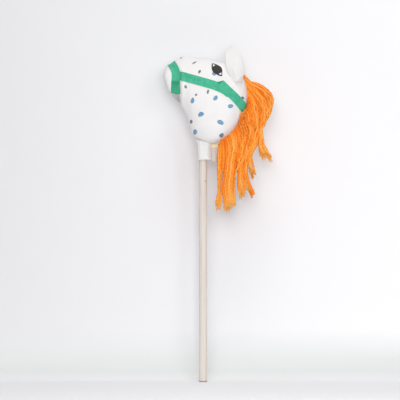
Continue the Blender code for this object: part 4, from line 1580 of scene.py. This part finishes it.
# The layers of a lock: the level from its inside, -1, to its outside, 1, and how closely it is filled
LAYERS = ((0.95, 1.0), (0.6, 1.5), (0.05, 1.0), (-0.5, 0.6), (-0.95, 0.8))
OUTER_LEVEL = 0.75
# Pitch and height of the waves of a bunch and of a single strand. The last wave of each moves the strand
# in and out, the others move it sideways.
BUNCH_WAVES = ((0.075, 0.0022), (0.032, 0.0014), (0.06, 0.0016))
STRAND_WAVES = ((0.022, 0.0010), (0.021, 0.0007))
# The radius of a strand's last rings as parts of its own
TIP_RADII = (0.95, 0.88, 0.78, 0.66, 0.52, 0.36)
FIRST_FALLING_LOCK = 5
# Crinkled yarn over the roots of the third and fourth lock, and single strands that lie across the locks
CURLS = (
    ((100.0, 88.0), (102.0, 66.0), (110.0, 46.0), (117.0, 24.0)),
    ((106.0, 90.0), (109.0, 62.0), (119.0, 40.0), (126.0, 12.0)),
    ((98.0, 70.0), (102.0, 48.0), (108.0, 26.0), (110.0, 6.0)),
    ((112.0, 96.0), (116.0, 70.0), (122.0, 52.0), (131.0, 26.0)),
)
LOOSE_STRANDS = (
    ((151.0, 13.0), (129.0, -16.5), (109.7, -46.8), (93.2, -71.5), (88.0, -90.0)),
    ((120.0, 8.0), (127.6, -22.0), (134.5, -52.0), (141.3, -82.5)),
    ((96.0, -38.5), (109.7, -71.5), (126.2, -104.5), (142.0, -138.0)),
)
# How far the yarn's roots reach over the side of the neck, from the poll down to the neck's underside
ROOT_FRONT = (
    (112.2, 189.2), (116.9, 172.4), (118.8, 158.7), (120.7, 143.0), (119.6, 129.3), (115.0, 120.5),
    (115.6, 105.6), (110.8, 93.0), (98.2, 90.0), (96.3, 80.0), (94.3, 64.4), (93.2, 52.5), (87.5, 41.0),
    (77.6, 29.2), (65.7, 17.3), (53.9, 7.4),
)
# The strips that the yarn is sewn to: name, where each starts and ends, and its CAD node
ROOT_STRIPS = (
    ("root_strip_upper", (104.0, 190.0), (124.0, 124.0), "mane_tape_upper"),
    ("root_strip_lower", (114.0, 86.0), (44.0, 8.0), "mane_tape_lower"),
)
# Middle and direction of the stitched roll from which the lowest locks hang
ROLL_MIDDLE = (64.0, 12.9)
ROLL_ALONG = (0.78, 0.626)


@dataclass
class Yarn:
    """What the mane's pieces share: the head below them, the yarn's sizes and how its strands lie."""

    form: HeadForm
    # Such yarn is about 3 mm thick, drawn 3.8 mm thick so that single strands show
    thick: float = 0.0038
    depth: float = 0.024
    middle_gap: float = 0.0008
    head_gap: float = 0.0012
    ring_step: float = 0.0026
    bunch_width: float = 0.0085
    longest: float = 0.985
    uneven_length: float = 0.11
    right_reach: float = 0.97
    gathered_outer: float = 0.26
    gathered_inner: float = 0.05
    spread_under: float = 0.20
    inner_wave: float = 0.3
    groove_outer: float = 0.0040
    groove_inner: float = 0.0008
    lift: float = 0.0010


@dataclass(frozen=True)
class StrandPlace:
    """Where a strand lies in its lock: from the first edge, 0, to the second, 1, and from the inside, -1, to
    the outside, 1, in a lock of so many bunches."""

    across: float
    level: float
    bunches: int

    @property
    def outer(self) -> bool:
        """Whether it lies in the outermost layer."""
        return self.level > OUTER_LEVEL

    @property
    def bunch(self) -> int:
        """The number of its bunch."""
        return min(self.bunches - 1, int(self.across * self.bunches))

    @property
    def centre(self) -> float:
        """The middle of its bunch, from the lock's first edge, 0, to the second, 1."""
        return (self.bunch + 0.5) / self.bunches

    @property
    def within(self) -> float:
        """Its place in the bunch, from one side, -1, to the other, 1."""
        return (self.across - self.centre) * self.bunches * 2


@dataclass
class LockStrands:
    """The strands of one lock, in layers between its two edges and in bunches that wave together.

    Its methods take places along the lock as t, from the root, 0, to the tip, 1.
    """

    yarn: Yarn
    lock: Lock
    side: Side
    number: int
    rng: np.random.Generator = field(init=False)
    one: Array = field(init=False)
    two: Array = field(init=False)
    width: float = field(init=False)
    sways: list[Sway] = field(init=False)

    def __post_init__(self) -> None:
        """Works out the edges, and draws the waves of each bunch."""
        rng = self.rng = np.random.default_rng(1000 * (self.side.value + 2) + self.number)
        self.one, self.two = (smooth_line(place(edge), 90) for edge in (self.lock.outer, self.lock.inner))
        self.width = np.linalg.norm(self.one - self.two, axis=1).max()
        bunches = max(2, round(self.width / self.yarn.bunch_width))
        self.sways = [Sway(BUNCH_WAVES, rng.random(4), rng.uniform(0.8, 1.25, 4)) for _ in range(bunches)]

    def all(self) -> list[Strand]:
        """Every strand of the lock, with its frayed end.

        Returns:
            The strands and the fibres.
        """
        found = []
        for level, filling in LAYERS:
            count = max(3, round(self.width / self.yarn.thick * filling))
            for k in range(count):
                across = (k + 0.5 + self.rng.uniform(-0.25, 0.25)) / count
                depth = level + self.rng.uniform(-0.1, 0.1)
                found += self.strand(StrandPlace(across, depth, len(self.sways)))
        return found

    def shares(self, here: StrandPlace, t: Array, gap: Array) -> Array:
        """Where a strand lies between the lock's edges, along its length.

        Args:
            here: Where the strand lies in the lock.
            t: Places along the lock.
            gap: The distance between the lock's edges there.

        Returns:
            The place from the first edge, 0, to the second, 1.
        """
        yarn, parts, grow = self.yarn, self.lock.parts, np.clip(t * 3, 0, 1)
        # Strands are drawn to the middle of their bunch, which leaves grooves between the bunches
        pull = yarn.gathered_outer if here.outer else yarn.gathered_inner
        gathered = here.across + (here.centre - here.across) * pull * grow * (1 - ramp(t, 0.6, 0.95))
        # The upper parts of the lower strands spread under the next locks
        under = yarn.spread_under * (1 - ramp(t, parts - 0.12, parts)) * (here.level < OUTER_LEVEL) * grow
        low = 0.0 if self.number == 1 else -under
        high = 1.0 if self.number == len(MANE_LOCKS) else 1 + under
        inset = yarn.thick / 2 / np.maximum(gap, 0.004)
        return low + (high - low) * np.clip(inset + gathered * (1 - 2 * inset), 0.0, 1.0)

    def straight(self, here: StrandPlace, t: Array) -> tuple[Array, Array]:
        """The line of a strand without its waves.

        Args:
            here: Where the strand lies in the lock.
            t: Places along the lock.

        Returns:
            Its X-Z points, and how far each is from the middle plane.
        """
        yarn, index, places = self.yarn, t * (len(self.one) - 1), np.arange(len(self.one))
        a, b = (np.column_stack([np.interp(index, places, axis) for axis in line.T])
                for line in (self.one, self.two))
        share = self.shares(here, t, np.linalg.norm(a - b, axis=1))
        flat = a * (1 - share)[:, None] + b * share[:, None]
        # A lock swells below its root, thins out to its tip and is thinner at its edges
        thinned = np.where(t < 0.7, 1.0, 1 - 0.6 * ((t - 0.7) / 0.3) ** 2)
        depth = yarn.depth / 2 * (np.minimum(1.0, 0.30 + 3.2 * t) * thinned)
        section = np.sqrt(np.clip(1 - np.abs(2 * np.clip(share, 0, 1) - 1) ** 4, 0.12, 1))
        return flat, yarn.middle_gap / 2 + depth + here.level * (depth - yarn.thick / 2) * section

    def waved(self, here: StrandPlace, t: Array, run: Array, flat: Array, out: Array) -> tuple[Array, Array]:
        """A strand's line with the waves of its bunch, its own, and the groove beside its bunch.

        Args:
            here: Where the strand lies in the lock.
            t: Places along the lock.
            run: The distance along the strand at each place.
            flat: Its X-Z points without waves.
            out: How far each is from the middle plane.

        Returns:
            The changed points and distances.
        """
        yarn, sway, across = self.yarn, self.sways[here.bunch], here.across
        own = Sway(STRAND_WAVES, self.rng.random(3), self.rng.uniform(0.8, 1.2, 3))
        grow, calm = np.clip(t * 3, 0, 1), 1 - 0.6 * ramp(t, 0.35, 0.8)
        size = self.lock.wave * grow * calm * (0.35 + 0.65 * min(1.0, 8 * across * (1 - across)))
        # The lower strands wave less, so that they close the gaps that open between the upper bunches
        aside = (sway.at(run, 0) + sway.at(run, 1) + own.at(run, 0)) * size
        flat = moved_across(flat, (aside * (1.0 if here.outer else yarn.inner_wave))[:, None])
        out = out + size * (sway.at(run, 2) + own.at(run, 1))
        groove = yarn.groove_outer if here.outer else yarn.groove_inner
        return flat, out - groove * grow * here.within ** 4 + yarn.lift * grow

    def strand(self, here: StrandPlace) -> list[Strand]:
        """One strand with its frayed end.

        Args:
            here: Where the strand lies in the lock.

        Returns:
            The strand and the fibres at its end.
        """
        yarn, rng, across = self.yarn, self.rng, here.across
        furthest = float(np.interp(across, (0, 0.25, 0.5, 0.75, 1), self.lock.reach))
        reach = (yarn.longest - yarn.uneven_length * rng.random() ** 1.6) * furthest
        if self.side is Side.RIGHT:
            reach *= yarn.right_reach
        first, second = (lengths_along(edge)[-1] for edge in (self.one, self.two))
        length = (first * (1 - across) + second * across) * reach
        count = max(24, round(length / yarn.ring_step))
        t = np.linspace(0, min(reach, 1.0), count)
        flat, out = self.waved(here, t, t / reach * length, *self.straight(here, t))
        path = set_out(flat, np.maximum(out, yarn.thick * 0.45), self.side)
        path = yarn.form.kept_clear(path, yarn.thick * 0.5 + yarn.head_gap)
        radius = np.full(count, yarn.thick / 2 * rng.uniform(0.86, 1.08))
        radius[-len(TIP_RADII):] *= np.array(TIP_RADII)
        # Painted shade: strands are darker in the grooves, in the lower layers and at the root. They are
        # paler to the tip
        tone = (rng.normal(0.55, 0.28) - 0.35 * abs(here.within) ** 3 - 0.25 * max(0.0, 0.8 - here.level)
                + 0.6 * ramp(t, 0.72, 1.0) - 0.25 * (1 - ramp(t, 0.0, 0.2)))
        return [Strand(path, radius, np.clip(tone, 0, 1)), *self.fibres(path, 2 if here.outer else 1)]

    def fibres(self, path: Array, count: int) -> list[Strand]:
        """Loose fibres at the end of a strand.

        Args:
            path: The strand's points.
            count: How many fibres.

        Returns:
            The fibres.
        """
        found, rng = [], self.rng
        heading = path[-1] - path[-6]
        heading /= np.linalg.norm(heading)
        for _ in range(count):
            lean = heading + rng.normal(0, 0.16, 3)
            steps = np.linspace(0, rng.uniform(0.007, 0.016), 6)[:, None]
            fibre = path[-1] - heading * 0.005 + lean * steps + rng.normal(0, 1, 3) * 0.5 * steps ** 1.5
            found.append(Strand(fibre, np.linspace(0.0013, 0.0006, 6), 1.0))
        return found


@dataclass
class Mane:
    """The yarn mane: the strip that it is sewn to, the roots, and the locks of both sides."""

    form: HeadForm
    strip_width: float = 0.019
    roll_half: float = 0.03
    hinge_above: float = 0.004
    hinge_below: float = 0.022
    loops: int = 38
    yarn: Yarn = field(init=False)
    paint: Paint = field(init=False)

    def build(self) -> None:
        """Makes the strips, the roots and the locks."""
        self.yarn, self.paint = Yarn(self.form), OrangeYarn().material()
        cotton = WhiteCotton(name="cotton_root_strip", light="F0B27C", shade="E89A55").material()
        for name, start, end, node in ROOT_STRIPS:
            offsets = np.linspace(-0.009, 0.009, 13)
            rings = range(self.form.ring_at(start), self.form.ring_at(end) + 1)
            grid = np.array([self.form.round_back(ring, offsets) for ring in rings])
            spots, outward = (found.reshape(grid.shape) for found in self.form.nearest(grid.reshape(-1, 3)))
            piece = cloth_shell(name, spots + outward * (GAP + 0.0014), spots + outward * GAP)
            dress(piece, cotton, [node])
        self.root_roll()
        for side in Side:
            for number, lock in enumerate(MANE_LOCKS, 1):
                self.lock(side, number, lock)
            for name, strands in (("root_loops", self.root_loops(side)), ("loose_strands", self.loose(side))):
                dress(strands_object(f"{name}_{side.word}", strands), self.paint)

    def root_roll(self) -> None:
        """The stitched roll of yarn from which the lowest locks hang."""
        t = np.linspace(-self.roll_half, self.roll_half, 60)
        path = set_out(place([ROLL_MIDDLE]) + np.array(ROLL_ALONG) * t[:, None], 0 * t, Side.RIGHT)
        radius = 0.0037 * np.sqrt(np.clip(1 - (np.abs(t) / 0.0304) ** 8, 0.05, 1))
        roll = strands_object("root_roll", [Strand(path, radius, 0.3)], 14, 3, 0.012, 0.12)
        dress(roll, self.paint, ["mane_root_cord"])

    def lock(self, side: Side, number: int, lock: Lock) -> None:
        """One lock of yarn. The falling ones are put on no body, with their places baked into their meshes.

        Args:
            side: The side of the mane.
            number: The lock's number, from the top.
            lock: Its edges and how it lies.
        """
        strands = LockStrands(self.yarn, lock, side, number).all()
        obj = strands_object(f"lock_{side.word}_{number}", strands)
        if number < FIRST_FALLING_LOCK:
            dress(obj, self.paint, [f"mane_crest_{side.word}_{number}"])
            return
        dress(obj, self.paint, [f"mane_fall_{side.word}_{number}"], None)
        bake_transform(obj)

    def root_loops(self, side: Side) -> list[Strand]:
        """Short loops where the yarn is sewn to the strip, along the side of the neck.

        Args:
            side: The side of the neck.

        Returns:
            The loops.
        """
        rng, form, thick = np.random.default_rng(70 + side.value), self.form, self.yarn.thick
        seam, front, found = form.grid[:, 0], place(ROOT_FRONT)[::-1], []
        turn = np.linspace(0, 1, 30)
        for at in np.linspace(form.ring_at((108.0, 186.0)), form.ring_at((50.0, 13.5)), self.loops):
            row = int(round(at))
            middle, reach, half = form.ring(row)
            # The loop reaches round the neck to the front line, as seen from the side
            turned = np.linspace(1.0, -0.2, 240)
            spots = middle + reach * turned[:, None]
            behind = spots[:, 0] > np.interp(spots[:, 1], front[:, 1], front[:, 0])
            furthest = turned[int(np.argmin(behind))] if behind[0] else 1.0
            spread = half * math.sqrt(max(0.0, 1 - furthest ** 2)) - thick / 2 + rng.uniform(-0.0018, 0.0008)
            ahead = seam[min(row + 3, len(seam) - 1)] - seam[row]
            ahead *= rng.uniform(0.0045, 0.006) / np.linalg.norm(ahead)
            width = 0.0015 + (max(0.004, spread) - 0.0015) * np.sin(math.pi * turn) ** 0.6
            path = form.round_back(row, side.value * width) + ahead * (turn - 0.5)[:, None]
            spots, outward = form.nearest(path)
            # The loops lie over the nape tape where they cross it
            height = seam[row, 2] - NECK_BASE_Z
            tape = 0.0024 * ramp(height, 0.084, 0.092) * (1 - ramp(height, 0.128, 0.136))
            lift = 0.0030 + tape + rng.uniform(0, 0.0030) + 0.0012 * np.sin(math.pi * turn)
            # Painted shade: each loop is darker where it turns round in the middle
            tone = np.clip(rng.uniform(0.5, 1.0) - 0.6 * np.sin(math.pi * turn) ** 8, 0, 1)
            radius = np.full(len(turn), thick / 2 * rng.uniform(1.0, 1.3))
            found.append(Strand(spots + outward * lift[:, None], radius, tone))
        return found

    def loose(self, side: Side) -> list[Strand]:
        """Single strands that lie across the locks, and crinkled yarn over their roots.

        Args:
            side: The side of the mane.

        Returns:
            The strands.
        """
        rng, yarn, found = np.random.default_rng(90 + side.value), self.yarn, []
        top = yarn.middle_gap / 2 + yarn.depth
        for points in LOOSE_STRANDS:
            for copy in range(3):
                flat = smooth_line(place(points), 60) + rng.uniform(-1, 1, 2) * np.array([0.004, 0.006])
                if side is Side.RIGHT:
                    flat = flat + np.array([-0.006, -0.009])
                path = set_out(flat, top + np.linspace(-0.002, 0.0015 + 0.001 * copy, 60), side)
                tone = rng.uniform(0.3, 1.0)
                found.append(Strand(path, np.full(60, yarn.thick / 2 * rng.uniform(0.8, 1.0)), tone))
        for points in CURLS:
            flat = smooth_line(place(points), 120)
            run = lengths_along(flat)
            turn = FULL_TURN * (run / rng.uniform(0.009, 0.012) + rng.random() + 0.3 * np.sin(run / 0.008))
            flat = flat + np.column_stack([np.sin(turn), 0.3 * np.cos(turn)]) * 0.0019
            path = set_out(flat, top - 0.0002 + 0.0010 * np.cos(turn), side)
            path = self.form.kept_clear(path, 0.004)
            # Painted light and shade: the tone rises and falls with each crinkle
            found.append(Strand(path, np.full(120, 0.0015), np.clip(0.45 + 0.45 * np.sin(turn), 0, 1)))
        return found


# Each lamp's name, place, size in metres and power in watts
LAMPS = (
    ("front_lamp", (0.2, -6.0, 1.0), 1.1, 90.0),
    ("high_lamp", (-0.3, -5.6, 2.0), 1.4, 57.0),
    ("key_lamp", (0.78, -3.0, 1.3), 0.55, 9.5),
    ("top_lamp", (0.1, -1.3, 2.7), 1.0, 13.0),
    ("rear_lamp", (0.4, 2.4, 1.9), 2.0, 2.0),
)


@dataclass
class Studio:
    """The paper backdrop and floor, the lamps and the camera, whose view is 400 pixels of 2.75 mm across."""

    pixel: float = 0.00275
    pixels: int = 400
    distance: float = 20.0
    centre_x: float = -0.0085
    centre_z: float = 0.5005
    wall_y: float = 0.20
    wall_top: float = 4.0
    cove: float = 0.16
    lean: float = 0.02
    half_width: float = 1.7
    front_y: float = -2.3
    aim: tuple[float, float, float] = (0.03, 0.0, 0.6)

    def build(self) -> None:
        """Makes the camera first, then the paper, the lamps and the world."""
        self.camera()
        self.paper()
        self.lamps()
        self.world()

    def camera(self) -> None:
        """Sets the camera square to the horse's left side."""
        data = bpy.data.cameras.new("camera")
        data.sensor_width = 36.0
        data.lens = data.sensor_width * self.distance / (self.pixel * self.pixels)
        camera = bpy.data.objects.new("camera", data)
        camera.location = (self.centre_x, -self.distance, self.centre_z)
        camera.rotation_euler = (math.radians(90), 0, 0)
        bpy.context.scene.collection.objects.link(camera)
        bpy.context.scene.camera = camera

    def paper(self) -> None:
        """Hangs the paper: a floor, a round cove and a wall in one sheet, which leans to the head."""
        turn = np.linspace(0, math.pi / 2, 24)
        cove = [(self.wall_y - self.cove * (1 - math.sin(a)), self.cove * (1 - math.cos(a))) for a in turn]
        profile = [(self.front_y, 0.0), *cove, (self.wall_y - self.wall_top * self.lean, self.wall_top)]
        points = [(x, y, z) for y, z in profile for x in (-self.half_width, self.half_width)]
        paper = mesh_object("paper_sweep", points, grid_faces(len(profile), 2), 180.0)
        if paper.data.polygons[0].normal.z < 0:
            paper.data.flip_normals()
        paper.data.materials.append(StudioPaper().material())

    def lamps(self) -> None:
        """Sets soft lamps in front, to the right, above and behind."""
        for name, spot, size, watts in LAMPS:
            data = bpy.data.lights.new(name, "AREA")
            data.shape, data.size, data.energy = "SQUARE", size, watts
            lamp = bpy.data.objects.new(name, data)
            lamp.location = spot
            lamp.rotation_mode = "QUATERNION"
            lamp.rotation_quaternion = (Vector(self.aim) - Vector(spot)).to_track_quat("-Z", "Y")
            bpy.context.scene.collection.objects.link(lamp)

    def world(self) -> None:
        """Sets the plain room round the object, which looks white and lights it softly."""
        world = bpy.data.worlds.new("studio_room")
        world.use_nodes = True
        tree = world.node_tree
        background = tree.nodes["Background"]
        background.inputs["Color"].default_value = colour("FBFBFD")
        rays = add_node(tree, "LightPath").outputs
        spot = add_node(tree, "TexCoord").outputs["Generated"]
        height = add_node(tree, "SeparateXYZ", {0: spot}).outputs[2]
        # The room is lighter above than below
        soft = add_node(tree, "MapRange", {0: height, 1: -0.35, 2: 0.35, 3: 0.12, 4: 0.36})
        seen = add_node(tree, "Math", {0: rays["Is Camera Ray"], 1: rays["Is Glossy Ray"]},
                        operation="MAXIMUM")
        strength = add_node(tree, "Mix", {0: seen, 2: soft, 3: 0.92}, data_type="FLOAT")
        tree.links.new(strength.outputs[0], background.inputs["Strength"])
        bpy.context.scene.world = world
        bpy.context.scene.view_settings.view_transform = "Standard"


def main() -> None:
    """Builds the horse from the camera to the mane."""
    logging.basicConfig(level=logging.INFO, format="%(message)s", stream=sys.stdout)
    Studio().build()
    Stick().build()
    form = HeadForm()
    for part in (Head, Bridle, Eyes, Ears, Neck, Mane):
        part(form).build()


if __name__ == "__main__":
    main()
